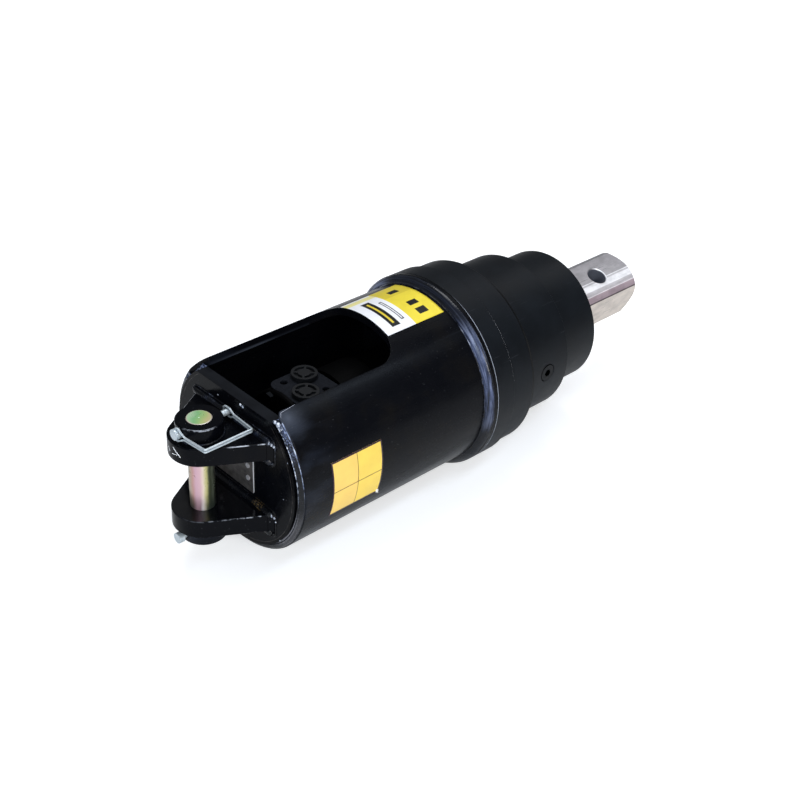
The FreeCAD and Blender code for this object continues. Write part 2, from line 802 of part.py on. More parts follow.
def tooth_loop(module, teeth, radii, thinning, first_tooth):
    """Closed polygon of teeth in the YZ plane, angles counted from +Z towards -Y."""
    pitch_r = module * teeth / 2
    pts = []
    for i in range(teeth):
        centre = first_tooth + 2 * math.pi * i / teeth
        flank = [(r, half_angle(r, pitch_r, teeth, thinning)) for r in radii]
        for r, a in flank:
            pts.append((r, centre - a))
        for r, a in reversed(flank):
            pts.append((r, centre + a))
    loop = [V(0, -r * math.sin(a), r * math.cos(a)) for r, a in pts]
    return Part.makePolygon(loop + loop[:1])


def outer_gear(module, teeth, x0, x1, first_tooth):
    pitch_r = module * teeth / 2
    radii = (pitch_r - 1.25 * module, pitch_r - 0.1 * module, pitch_r + 0.9 * module)
    loop = tooth_loop(module, teeth, radii, backlash, first_tooth)
    return Part.Face(loop).extrude(V(x1 - x0, 0, 0)).translated(V(x0, 0, 0))


def ring_teeth(module, teeth, x0, x1, first_tooth):
    """The space inside an internal gear: a gear shape to cut away."""
    pitch_r = module * teeth / 2
    radii = (pitch_r - 0.9 * module, pitch_r + 0.1 * module, pitch_r + 1.2 * module)
    space = first_tooth + math.pi / teeth
    loop = tooth_loop(module, teeth, radii, -backlash, space)
    return Part.Face(loop).extrude(V(x1 - x0, 0, 0)).translated(V(x0, 0, 0))


def planet_angle(k):
    return 2 * math.pi * k / planet_count


def planet_phase(sun_teeth, planet_teeth, k):
    """Tooth angle that puts planet k in mesh with a sun whose first tooth is at zero."""
    at = planet_angle(k)
    return at + math.pi + (sun_teeth * at - math.pi) / planet_teeth


def ring_phase(planet_teeth, ring_teeth):
    return planet_teeth * math.pi / ring_teeth


def planet_centre(module, sun_teeth, planet_teeth, k):
    reach = module * (sun_teeth + planet_teeth) / 2
    at = planet_angle(k)
    return V(0, -reach * math.sin(at), reach * math.cos(at))


def planet(module, sun_teeth, planet_teeth, x0, x1, pin_r, k):
    gear = outer_gear(module, planet_teeth, x0, x1, planet_phase(sun_teeth, planet_teeth, k))
    gear = gear.cut(rod(x0 - 1, x1 + 1, pin_r + bush_gap))
    return gear.translated(planet_centre(module, sun_teeth, planet_teeth, k))


def planet_pins(module, sun_teeth, planet_teeth, x_gear, face, x_plate, plate, pin_r):
    """Cantilevered pins with a retaining cap, one solid each."""
    pins = []
    cap_in = x_gear - pin_cap_gap
    cap_out = cap_in - pin_cap_t
    cap_r = pin_r + pin_cap_rim
    for k in range(planet_count):
        pin = turned([(cap_out, 0), (cap_out, cap_r), (cap_in, cap_r), (cap_in, pin_r),
                      (x_plate + plate, pin_r), (x_plate + plate, 0)])
        pins.append(pin.translated(planet_centre(module, sun_teeth, planet_teeth, k)))
    return Part.makeCompound(pins)


def carrier_pin_holes(module, sun_teeth, planet_teeth, x0, x1, pin_r):
    holes = []
    hole = rod(x0, x1, pin_r + fit_gap)
    for k in range(planet_count):
        holes.append(hole.translated(planet_centre(module, sun_teeth, planet_teeth, k)))
    return holes


def first_ring_gear():
    x0 = input_x + first_wall
    x1 = carrier_one_x
    body = rod(x0, x1, first_ring_r)
    return body.cut(ring_teeth(first_module, first_ring_teeth, x0 - 1, x1 + 1,
                               ring_phase(first_planet_teeth, first_ring_teeth)))


def second_ring_gear():
    e = case_edge
    body = turned([(ring_x, 0), (ring_x, ring_case_r - e), (ring_x + e, ring_case_r),
                   (housing_x - e, ring_case_r), (housing_x, ring_case_r - e), (housing_x, 0)])
    body = body.cut(ring_teeth(second_module, second_ring_teeth, ring_x - 1, housing_x + 1,
                               ring_phase(second_planet_teeth, second_ring_teeth)))
    return cut_all(body, case_bolt_holes(ring_x - 1, housing_x + 1, bolt_gap))


def first_sun():
    x1 = first_gear_x + first_face
    gear = outer_gear(first_module, first_sun_teeth, first_gear_x, x1, 0.0)
    return gear.cut(rod(first_gear_x - 1, x1 + 1, link_r + fit_gap))


def first_planet(k):
    x1 = first_gear_x + first_face
    return planet(first_module, first_sun_teeth, first_planet_teeth, first_gear_x, x1, first_pin_r, k)


def first_carrier():
    x1 = carrier_one_x + carrier_one_t
    outer = first_module * (first_sun_teeth + first_planet_teeth) / 2 + first_pin_r + carrier_rim
    body = ring(carrier_one_x, x1, outer, sun_two_hub_r + fit_gap)
    return cut_all(body, carrier_pin_holes(first_module, first_sun_teeth, first_planet_teeth,
                                           carrier_one_x - 1, x1 + 1, first_pin_r))


def first_planet_pins():
    return planet_pins(first_module, first_sun_teeth, first_planet_teeth, first_gear_x, first_face,
                       carrier_one_x, carrier_one_t, first_pin_r)


def second_sun():
    """Sun teeth with a hub pressed into the first carrier."""
    x1 = second_gear_x + second_face
    gear = outer_gear(second_module, second_sun_teeth, second_gear_x, x1, 0.0)
    hub = rod(carrier_one_x, second_gear_x, sun_two_hub_r)
    return gear.fuse(hub).removeSplitter()


def second_planet(k):
    x1 = second_gear_x + second_face
    return planet(second_module, second_sun_teeth, second_planet_teeth, second_gear_x, x1, second_pin_r, k)


def second_planet_pins():
    return planet_pins(second_module, second_sun_teeth, second_planet_teeth, second_gear_x, second_face,
                       carrier_two_x, carrier_two_t, second_pin_r)


def output_carrier():
    x0 = carrier_two_x
    x1 = x0 + carrier_two_t
    hub_end = shaft_step_x
    outer = second_module * (second_sun_teeth + second_planet_teeth) / 2 + second_pin_r + carrier_rim
    bore = shaft_spline_r + fit_gap
    body = turned([(x0, sun_two_root_r), (x0, outer), (x1, outer), (x1, carrier_two_hub_r),
                   (hub_end, carrier_two_hub_r), (hub_end, bore), (shaft_rear_x, bore),
                   (shaft_rear_x, sun_two_root_r)])
    return cut_all(body, carrier_pin_holes(second_module, second_sun_teeth, second_planet_teeth,
                                           x0 - 1, x1 + 1, second_pin_r))


# Output shaft
def square_bar(x0, x1):
    """Round bar with four flats, turned about the axis, its free end chamfered."""
    c = square_end_chamfer
    round_bar = turned([(x0, 0), (x0, square_corner_r), (x1 - c, square_corner_r),
                        (x1, square_corner_r - c), (x1, 0)])
    half = square_af / 2
    block = Part.makeBox(x1 - x0, square_af, square_af, V(x0, -half, -half))
    return about_x(round_bar.common(block), square_turn_deg)


def output_shaft():
    shoulder_x = front_bearing_x + bearing_w
    land_end = nose_end_x - 1
    core = turned([(shaft_rear_x, 0), (shaft_rear_x, shaft_spline_r), (shaft_step_x, shaft_spline_r),
                   (shaft_step_x, rear_bearing_bore_r),
                   (rear_bearing_x + bearing_w, rear_bearing_bore_r),
                   (rear_bearing_x + bearing_w, shaft_mid_r), (front_bearing_x, shaft_mid_r),
                   (front_bearing_x, front_bearing_bore_r), (shoulder_x, front_bearing_bore_r),
                   (shoulder_x, seal_land_r), (land_end, seal_land_r), (land_end, 0)])
    body = core.fuse(square_bar(land_end, shaft_end_x)).removeSplitter()
    x = shaft_end_x - cross_hole_from_end
    drill = post(x, 0, -square_af, square_af, cross_hole_d / 2)
    body = body.cut(about_x(drill, square_turn_deg))
    for s in (1, -1):
        mouth = Part.makeCone(cross_hole_d / 2, cross_hole_d / 2 + cross_hole_chamfer, cross_hole_chamfer,
                              V(x, 0, s * (square_af / 2 - cross_hole_chamfer)), V(0, 0, s))
        body = body.cut(about_x(mouth, square_turn_deg))
    return body


def shaft_nut():
    x1 = rear_bearing_x
    x0 = x1 - nut_t
    body = ring(x0, x1, nut_r, rear_bearing_bore_r + fit_gap)
    for i in range(4):
        slot = Part.makeBox(nut_t + 2, nut_slot_w, 2 * nut_slot_depth,
                            V(x0 - 1, -nut_slot_w / 2, nut_r - nut_slot_depth))
        body = body.cut(about_x(slot, 90 * i))
    return body


def race_line(pitch_r, forward):
    """Radius of the rollers' centre line at each end of the bearing."""
    lean = math.tan(math.radians(bearing_tilt_deg)) * bearing_w / 2
    return (pitch_r - lean, pitch_r + lean) if forward else (pitch_r + lean, pitch_r - lean)


def bearing_cup(x0, bore_r, od_r, forward):
    pitch_r = (bore_r + od_r) / 2
    low, high = race_line(pitch_r, forward)
    out = (roller_r + roller_gap) / math.cos(math.radians(bearing_tilt_deg))
    x1 = x0 + bearing_w
    inset = cup_inset
    step = (high - low) / bearing_w * inset
    if forward:
        return turned([(x0, od_r), (x1 - inset, od_r), (x1 - inset, high - step + out), (x0, low + out)])
    return turned([(x0 + inset, od_r), (x1, od_r), (x1, high + out), (x0 + inset, low + step + out)])


def bearing_cone(x0, bore_r, od_r, forward):
    pitch_r = (bore_r + od_r) / 2
    low, high = race_line(pitch_r, forward)
    out = (roller_r + roller_gap) / math.cos(math.radians(bearing_tilt_deg))
    x1 = x0 + bearing_w
    return turned([(x0, bore_r), (x1, bore_r), (x1, high - out), (x0, low - out)])


def bearing_rollers(x0, bore_r, od_r, forward):
    pitch_r = (bore_r + od_r) / 2
    mid = x0 + bearing_w / 2
    lean = bearing_tilt_deg if forward else -bearing_tilt_deg
    one = Part.makeCylinder(roller_r, roller_len, V(-roller_len / 2, 0, 0), V(1, 0, 0))
    one.rotate(V(0, 0, 0), V(0, 1, 0), -lean)
    one = one.translated(V(mid, 0, pitch_r))
    return Part.makeCompound([about_x(one, i * 360.0 / roller_count) for i in range(roller_count)])


def output_seal():
    x1 = nose_end_x - seal_inset
    x0 = x1 - seal_t
    lip = seal_land_r + seal_gap
    back = x1 - 2 * seal_lip
    rim = seal_outer_r - seal_rim
    return turned([(x0, seal_outer_r), (x1, seal_outer_r), (x1, lip + seal_lip), (x1 - seal_lip, lip),
                   (back, lip + seal_lip), (back, rim), (x0, rim)])


def build():
    front = (front_bearing_x, front_bearing_bore_r, front_bearing_od_r, True)
    rear = (rear_bearing_x, rear_bearing_bore_r, rear_bearing_od_r, False)
    parts = {
        "hood_tube": hood_tube(),
        "hitch_plate": hitch_plate(),
        "plate_weld": plate_weld(),
        "flange_weld": flange_weld(),
        "ear_upper": ear(ear_top_z),
        "ear_lower": ear(ear_low_z - ear_t),
        "boss_upper": boss(ear_top_z + ear_t, lock_top_z, True),
        "boss_lower": boss(boss_low_z, lock_low_z, False),
        "ear_welds": ear_welds(),
        "hitch_pin": hitch_pin(),
        "lock_pin_upper": lock_pin_upper(),
        "lock_pin_lower": lock_pin_lower(),
        "lock_bail": lock_bail(),
        "lock_clip": lock_clip(),
        "name_plate": name_plate(),
        "name_plate_rivets": name_plate_rivets(),
        "base_ring": base_ring(),
        "input_housing": input_housing(),
        "output_housing": output_housing(),
        "oil_plugs": oil_plugs(),
        "casing_bolts": casing_bolts(),
        "motor_rear_cover": motor_rear_cover(),
        "motor_valve_housing": motor_valve_housing(),
        "motor_gerotor_ring": motor_gerotor_ring(),
        "motor_front_housing": motor_front_housing(),
        "motor_rear_bolts": motor_rear_bolts(),
        "motor_mount_bolts": motor_mount_bolts(),
        "drive_link": drive_link(),
        "first_sun": first_sun(),
        "first_ring_gear": first_ring_gear(),
        "first_carrier": first_carrier(),
        "first_planet_pins": first_planet_pins(),
        "second_sun": second_sun(),
        "second_ring_gear": second_ring_gear(),
        "second_planet_pins": second_planet_pins(),
        "output_carrier": output_carrier(),
        "output_shaft": output_shaft(),
        "shaft_nut": shaft_nut(),
        "front_bearing_cup": bearing_cup(*front),
        "front_bearing_cone": bearing_cone(*front),
        "front_bearing_rollers": bearing_rollers(*front),
        "rear_bearing_cup": bearing_cup(*rear),
        "rear_bearing_cone": bearing_cone(*rear),
        "rear_bearing_rollers": bearing_rollers(*rear),
        "output_seal": output_seal(),
    }
    for side, (x, y) in zip("ab", port_places()):
        parts["port_cap_" + side] = port_cap().translated(V(x, y, port_face_z))
    for k in range(planet_count):
        parts["first_planet_%d" % (k + 1)] = first_planet(k)
        parts["second_planet_%d" % (k + 1)] = second_planet(k)
    return parts


for name, shape in build().items():
    shape.exportStep("parts/%s.step" % name)
    print("%-24s solids %d  volume %.0f  valid %s"
          % (name, len(shape.Solids), shape.Volume, shape.isValid()))
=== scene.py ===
import json
import math
from functools import partial
import bmesh
import bpy
from mathutils import Euler, Matrix, Vector, noise


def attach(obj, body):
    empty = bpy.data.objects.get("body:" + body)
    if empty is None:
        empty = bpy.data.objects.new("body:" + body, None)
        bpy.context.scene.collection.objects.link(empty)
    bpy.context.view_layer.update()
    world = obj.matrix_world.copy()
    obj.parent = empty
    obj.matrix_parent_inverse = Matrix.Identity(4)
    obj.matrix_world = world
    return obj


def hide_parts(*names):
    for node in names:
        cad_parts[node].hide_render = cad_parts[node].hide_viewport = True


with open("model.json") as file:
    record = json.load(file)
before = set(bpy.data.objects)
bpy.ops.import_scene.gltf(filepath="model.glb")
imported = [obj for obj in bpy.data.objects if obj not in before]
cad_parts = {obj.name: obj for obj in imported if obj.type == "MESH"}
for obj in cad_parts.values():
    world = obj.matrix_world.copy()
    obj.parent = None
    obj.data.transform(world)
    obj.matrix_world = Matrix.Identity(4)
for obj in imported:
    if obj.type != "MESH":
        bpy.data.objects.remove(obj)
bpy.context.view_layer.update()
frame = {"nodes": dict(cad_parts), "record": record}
print("frame loaded:", len(frame["nodes"]), "nodes")

mm = 0.001


def toLinear(hexCode):
    parts = [int(hexCode[i:i + 2], 16) / 255 for i in (0, 2, 4)]
    return [p / 12.92 if p <= 0.04045 else ((p + 0.055) / 1.055) ** 2.4 for p in parts] + [1.0]


def perMm(size):  # texture scale for a pattern of that size in millimetres
    return 1000.0 / size


def addNode(tree, kind, inputs=(), output=None, **settings):
    # inputs go by name, or in the node's own order; a hex string is a colour, and stops fill a colour ramp;
    # it gives back the named output, or the first one in use
    node = tree.nodes.new("ShaderNode" + kind)
    stops = settings.pop("stops", [])
    for name, value in settings.items():
        setattr(node, name, value)
    if stops:
        elements = node.color_ramp.elements
        elements.remove(elements[-1])
        elements[0].position = stops[0][0]
        for at, colour in stops[1:]:
            elements.new(at)
        for element, (at, colour) in zip(elements, stops):
            element.color = toLinear(colour) if isinstance(colour, str) else (colour, colour, colour, 1)
    for name, value in inputs.items() if isinstance(inputs, dict) else enumerate(inputs):
        if isinstance(value, bpy.types.NodeSocket):
            tree.links.new(value, node.inputs[name])
        else:
            node.inputs[name].default_value = toLinear(value) if isinstance(value, str) else value
    return node.outputs[output] if output else next((out for out in node.outputs if out.enabled), None)


def newMaterial(name):
    material = bpy.data.materials.new(name)
    material.use_nodes = True
    tree = material.node_tree
    tree.nodes.clear()
    add = partial(addNode, tree)
    shader = add("BsdfPrincipled").node
    add("OutputMaterial", {"Surface": shader.outputs[0]})
    return material, add, shader, add("TexCoord", output="Object")


def grain(add, place, size, detail=3.0, rough=0.5):
    # cloudy pattern with blotches of that size in mm, one number or one for each axis
    sizes = (size, size, size) if isinstance(size, (int, float)) else size
    scaled = add("Mapping", {"Vector": place, "Scale": [perMm(each) for each in sizes]})
    return add("TexNoise", {"Vector": scaled, "Scale": 1.0, "Detail": detail, "Roughness": rough})


def allOf(add, *masks):  # masks multiplied together: 1 only where all of them are
    whole = masks[0]
    for mask in masks[1:]:
        whole = add("Math", (whole, mask), operation="MULTIPLY")
    return whole


def layered(add, tint, *layers):  # each layer is a mask and the colour that it lays over those before it
    for mask, colour in layers:
        tint = add("Mix", {"Factor": mask, "A": tint, "B": colour}, data_type="RGBA")
    return tint


def shaded(add, tint, *patterns):  # each pattern darkens the colour
    for pattern in patterns:
        tint = add("Mix", {"Factor": 1.0, "A": tint, "B": pattern}, data_type="RGBA", blend_type="MULTIPLY")
    return tint


def dress(add, shader, tint, gloss, height, strength, depth, edge=0.0):
    # gloss is a pattern, the range it has and the roughness at both ends; depth and edge are in mm
    links = shader.id_data.links
    links.new(tint, shader.inputs["Base Color"])
    links.new(add("MapRange", gloss), shader.inputs["Roughness"])
    bump = {"Height": height, "Strength": strength, "Distance": depth * mm}
    if edge:
        bump["Normal"] = add("Bevel", {"Radius": edge * mm}, samples=4)
    links.new(add("Bump", bump), shader.inputs["Normal"])


def fromAxis(add, place, across=(0, 1, 1)):  # distance from the axis that across leaves out
    return add("VectorMath", [add("VectorMath", (place, across), operation="MULTIPLY")], operation="LENGTH")


def strokeMask(add, place, start, end, width, ragged):
    # 1 within a short straight stroke from start to end, in mm, with a ragged rim
    a, b = Vector(start) * mm, Vector(end) * mm
    run = (b - a).normalized()
    offset = add("VectorMath", (place, a), operation="SUBTRACT")
    along = add("VectorMath", (offset, run), operation="DOT_PRODUCT")
    held = add("Clamp", (along, 0.0, (b - a).length))
    back = add("VectorMath", {0: run, "Scale": held}, operation="SCALE")
    gap = add("VectorMath", (offset, back), operation="DISTANCE")
    limit = add("MapRange", (ragged, 0.35, 0.65, 0.2 * width * mm, width * mm))
    return add("Math", (gap, limit), operation="LESS_THAN")


def edgeHighlightMask(add, patch):
    # 1 on the upward-sloping rounds between flat tops and upright sides, where a painted highlight line goes;
    # patch breaks the line up
    up = add("SeparateXYZ", [add("NewGeometry", output="Normal")], output="Z")
    slope = add("Math", (up, 0.74, 0.1), operation="COMPARE")
    return allOf(add, slope, add("MapRange", (patch, 0.43, 0.56, 0.0, 1.0)))


def addPiece(name, mesh, material, body):
    piece = bpy.data.objects.new(name, mesh)
    bpy.context.scene.collection.objects.link(piece)
    mesh.materials.append(material)
    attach(piece, body)
    return piece


def meshFrom(bm, name):
    bmesh.ops.remove_doubles(bm, verts=bm.verts[:], dist=0.000001)
    bmesh.ops.recalc_face_normals(bm, faces=bm.faces)
    mesh = bpy.data.meshes.new(name)
    bm.to_mesh(mesh)
    bm.free()
    for face in mesh.polygons:
        face.use_smooth = True
    return mesh


# materials; what the maps read from axes is in metres, and the looks give places in mm

def sprayedEnamel(name, look):
    # alkyd enamel sprayed on steel: deep bluish black, glossy, with orange peel, wiped dust and pale specks
    material, add, shader, place = newMaterial(name)
    shader.inputs["Specular IOR Level"].default_value = look["specular"]
    if "shine" in look:  # the flat tops are polished by wear
        up = add("SeparateXYZ", [add("NewGeometry", output="Normal")], output="Z")
        polish = add("MapRange", (up, 0.9, 0.97, look["specular"], look["shine"]))
        material.node_tree.links.new(polish, shader.inputs["Specular IOR Level"])
    axes = add("SeparateXYZ", [place]).node.outputs
    cloud = grain(add, place, 70, 5.0, 0.6)
    tint = add("ValToRGB", [cloud], stops=[(0.34, look["dark"]), (0.52, look["middle"]), (0.7, look["warm"])])
    if look["paintedSheen"]:  # painted bluish sheen by the window, broken up by wiped smears; a painted highlight glowing round the window's near corner; a painted highlight along its far inner edge
        smears = add("MapRange", (grain(add, place, (60, 26, 26), 4.0), 0.42, 0.62, 0.0, 1.0))
        paintedSheen = allOf(add, add("MapRange", (axes[0], 0.062, 0.125, 1.0, 0.0)), smears, look["paintedSheen"])
        gap = add("VectorMath", (place, Vector(look["corner"]) * mm), operation="DISTANCE")
        glow = add("MapRange", (gap, 0.0, look["cornerReach"] * mm, 0.9, 0.0))
        glow = allOf(add, add("Math", (glow, 3.0), operation="POWER"), look["paintedSheen"])
        lip = allOf(add, add("Math", (axes[1], look["lip"] * mm, 0.9 * mm), operation="COMPARE"),
                    add("MapRange", (axes[2], 0.0945, 0.0905, 0.0, 1.0)),
                    add("MapRange", (axes[0], 0.07, 0.13, 0.1, 1.0)),
                    add("MapRange", (axes[0], 0.15, 0.18, 1.0, 0.2)), look["paintedSheen"])
        tint = layered(add, tint, (paintedSheen, "2b303b"), (glow, "6d7484"), (lip, "565c68"))
    # pale dust specks all over, made denser low on the tube towards the flange, where they also paint a
    # speckled reflection of the floor
    low = allOf(add, add("MapRange", (axes[2], -0.045, -0.105, 0.0, 1.0)),
                add("MapRange", (axes[0], 0.12, 0.3, 0.25, 1.0)), 0.06)
    specksAndReflection = add("Math", (grain(add, place, 2.4, 2.0), low), operation="ADD")
    dust = add("ValToRGB", [specksAndReflection], stops=[(0.72, 0.0), (0.78, look["dust"])])
    drawn = grain(add, place, (170, 2.2, 2.2), 3.0)
    streak = add("ValToRGB", [drawn], stops=[(0.70, 0.0), (0.76, look["streak"])])
    tint = layered(add, tint, (dust, "8f9094"), (streak, "3c4049"))
    # paint chips and scuffs, and strokes of painted highlight along edges
    for start, end, width in look["chipsAndHighlights"]:
        stroke = strokeMask(add, place, start, end, width, grain(add, place, 1.5))
        tint = layered(add, tint, (stroke, look["chipAndHighlightTint"]))
    # a painted highlight on the edge rounds that face up, on one side of the part only
    if "edgeHighlight" in look:  # on one side only, from where it begins to where it is full along a direction
        patch, amount, toward, begins, full = look["edgeHighlight"]
        reach = add("VectorMath", (place, toward), operation="DOT_PRODUCT")
        edgeLit = allOf(add, edgeHighlightMask(add, grain(add, place, patch, 4.0)),
                     add("MapRange", (reach, begins * mm, full * mm, 0.0, amount)))
        tint = layered(add, tint, (edgeLit, "c3c8d2"))
    if "root" in look:  # the plate's bevelled rim, painted black as the weld's shadow, with a thin broken grey line at its edge
        away = fromAxis(add, place)
        low = add("MapRange", (axes[2], (look["strip"] - 4) * mm, (look["strip"] - 1) * mm, 1.0, 0.0))
        root = look["root"] * mm
        dark = allOf(add, add("MapRange", (away, root, root + 0.6 * mm, 0.0, 0.8)), low)
        line = allOf(add, add("Math", (away, root, 0.35 * mm), operation="COMPARE"), low,
                     add("MapRange", (grain(add, place, 7, 4.0), 0.45, 0.6, 0.25, 1.0)))
        tint = layered(add, tint, (dark, "020203"), (line, "4a4543"))
    if "strip" in look:  # the flame-cut top edge of the plate, given a lighter grey
        above = add("MapRange", (axes[2], (look["strip"] - 0.4) * mm, (look["strip"] - 0.1) * mm, 0.0, 1.0))
        topCloud = grain(add, place, (30, 40, 30), 4.0)
        topGrey = add("ValToRGB", [topCloud], stops=[(0.3, "121316"), (0.7, "1c1e22")])
        tint = layered(add, tint, (above, topGrey))
    gloss = (grain(add, place, (90, 14, 14), 6.0), 0.3, 0.7, look["rough"] - 0.06, look["rough"] + 0.09)
    dress(add, shader, tint, gloss, grain(add, place, look["peel"], 2.0), look["bump"], 0.6, look["edge"])
    return material


def weldEnamel(name, look):
    # the same enamel flooded over weld metal: it pools thick and shines, with rust bloom at one root; its
    # paler tints are a painted highlight, laid on by height
    material, add, shader, place = newMaterial(name)
    shader.inputs["Specular IOR Level"].default_value = look["specular"]
    axes = add("SeparateXYZ", [place]).node.outputs
    height = axes[2]
    if "drawn" in look:  # smooth runs along the ring: the pattern is quick across the bead and slow round it
        slow = add("Math", (height, look["drawn"]), operation="MULTIPLY")
        patch = grain(add, add("CombineXYZ", (axes[0], fromAxis(add, place), slow)), look["patch"], 3.0)
    else:
        patch = grain(add, place, look["patch"], 4.0)
    # the paler tints are full from the crest down to the height high, fade out by the height low, and dim
    # above the crest
    high, low = look["fade"]
    fade = allOf(add, add("MapRange", (height, high * mm, low * mm, 1.0, 0.015)),
                 add("MapRange", (height, look["crest"] * mm, (look["crest"] + 25) * mm, 1.0, 0.1)))
    paintedGleam = add("ValToRGB", [patch], stops=list(zip((0.38, 0.54, 0.66), look["tints"])))
    gap = add("VectorMath", (place, Vector(look["rust"]) * mm), operation="DISTANCE")
    bloom = allOf(add, add("MapRange", (gap, 0.004, 0.012, 1.0, 0.0)),
                  add("ValToRGB", [grain(add, place, 1.6, 3.0)], stops=[(0.55, 0.0), (0.6, 1.0)]))
    tint = layered(add, look["tints"][0], (fade, paintedGleam), (bloom, "806a42"))
    if "glint" in look:  # a painted grey highlight on the low near part, over the smooth inner side of the bead
        inner = (look["glint"] * mm, (look["glint"] + 4.5) * mm)
        sheen = allOf(add, add("MapRange", (fromAxis(add, place), *inner, 1.0, 0.15)),
                      add("MapRange", (height, -0.012, -0.038, 0.0, 1.0)),
                      add("MapRange", (height, -0.098, -0.08, 0.0, 1.0)))
        tint = layered(add, tint, (sheen, "8d8a90"))
    gloss = (patch, 0.3, 0.7, look["rough"], look["rough"] + 0.14)
    dress(add, shader, tint, gloss, grain(add, place, 1.4, 2.0), look["bump"], 0.6)
    return material


def turnedCasePaint(look):
    # thin satin paint over turned steel: the lathe's rings and handling scratches stay visible
    material, add, shader, place = newMaterial("turnedCasePaint")
    shader.inputs["Specular IOR Level"].default_value = look["specular"]
    axes = add("SeparateXYZ", [place]).node.outputs
    cloud = grain(add, place, 45, 6.0, 0.65)
    tint = add("ValToRGB", [cloud], stops=[(0.3, look["dark"]), (0.75, look["pale"])])
    slanted = add("Mapping", {"Vector": place, "Rotation": (0.3, 0.5, 0.2),
                              "Scale": (perMm(60), perMm(1.1), perMm(30))})
    stroke = add("TexNoise", {"Vector": slanted, "Scale": 1.0, "Detail": 4.0})
    tint = layered(add, tint, (add("ValToRGB", [stroke], stops=[(0.68, 0.0), (0.76, 0.35)]), "4a4c52"))
    nearSide = add("MapRange", (axes[1], -0.04, 0.02, 1.0, 0.2))
    broken = add("MapRange", (grain(add, place, 30, 2.0), 0.3, 0.45, 0.7, 1.0))
    for x, half, colour, top in look["seamHighlightsAndShadows"]:  # joint lines, the pale ones painted highlights and the black ones painted shadow in the gaps, which fade out above their top and away from the near side
        below = add("MapRange", (axes[2], (top + 12) * mm, (top - 4) * mm, 0.0, 1.0))
        ring = add("Math", (axes[0], x * mm, half * mm), operation="COMPARE")
        tint = layered(add, tint, (allOf(add, ring, broken, below, nearSide), colour))
    off = add("Math", (axes[0], look["groove"] * mm), operation="SUBTRACT")
    groove = add("MapRange", (add("Math", [off], operation="ABSOLUTE"), 0.0, 1.3 * mm, 0.0, 1.0))
    lathe = allOf(add, grain(add, place, (1.4, 400, 400)), 0.05)
    gloss = (cloud, 0.2, 0.8, look["rough"] - 0.07, look["rough"] + 0.09)
    dress(add, shader, tint, gloss, add("Math", (lathe, groove), operation="ADD"), 0.8, 0.9, 0.7)
    return material


def castMotorPaint(look):
    # black paint over sand-moulded iron: dull and finely pebbled, greyer on the machined port face; the
    # body's black is darkened further as a painted shade under the hood
    material, add, shader, place = newMaterial("castMotorPaint")
    shader.inputs["Specular IOR Level"].default_value = look["specular"]
    axes = add("SeparateXYZ", [place]).node.outputs
    pebble = grain(add, place, 1.8, 4.0)
    castShaded = add("ValToRGB", [pebble], stops=[(0.3, "030303"), (0.8, "070708")])
    face = add("ValToRGB", [pebble], stops=[(0.3, "15161a"), (0.8, "24262b")])
    along = add("Math", (axes[0], look["block"] * mm, look["halfLength"] * mm), operation="COMPARE")
    above = add("MapRange", (axes[2], (look["face"] - 6) * mm, look["face"] * mm, 0.0, 1.0))
    tint = layered(add, castShaded, (allOf(add, along, above), face))
    dress(add, shader, tint, (pebble, 0.2, 0.8, 0.4, 0.6), pebble, 0.3, 0.5, 0.8)
    return material


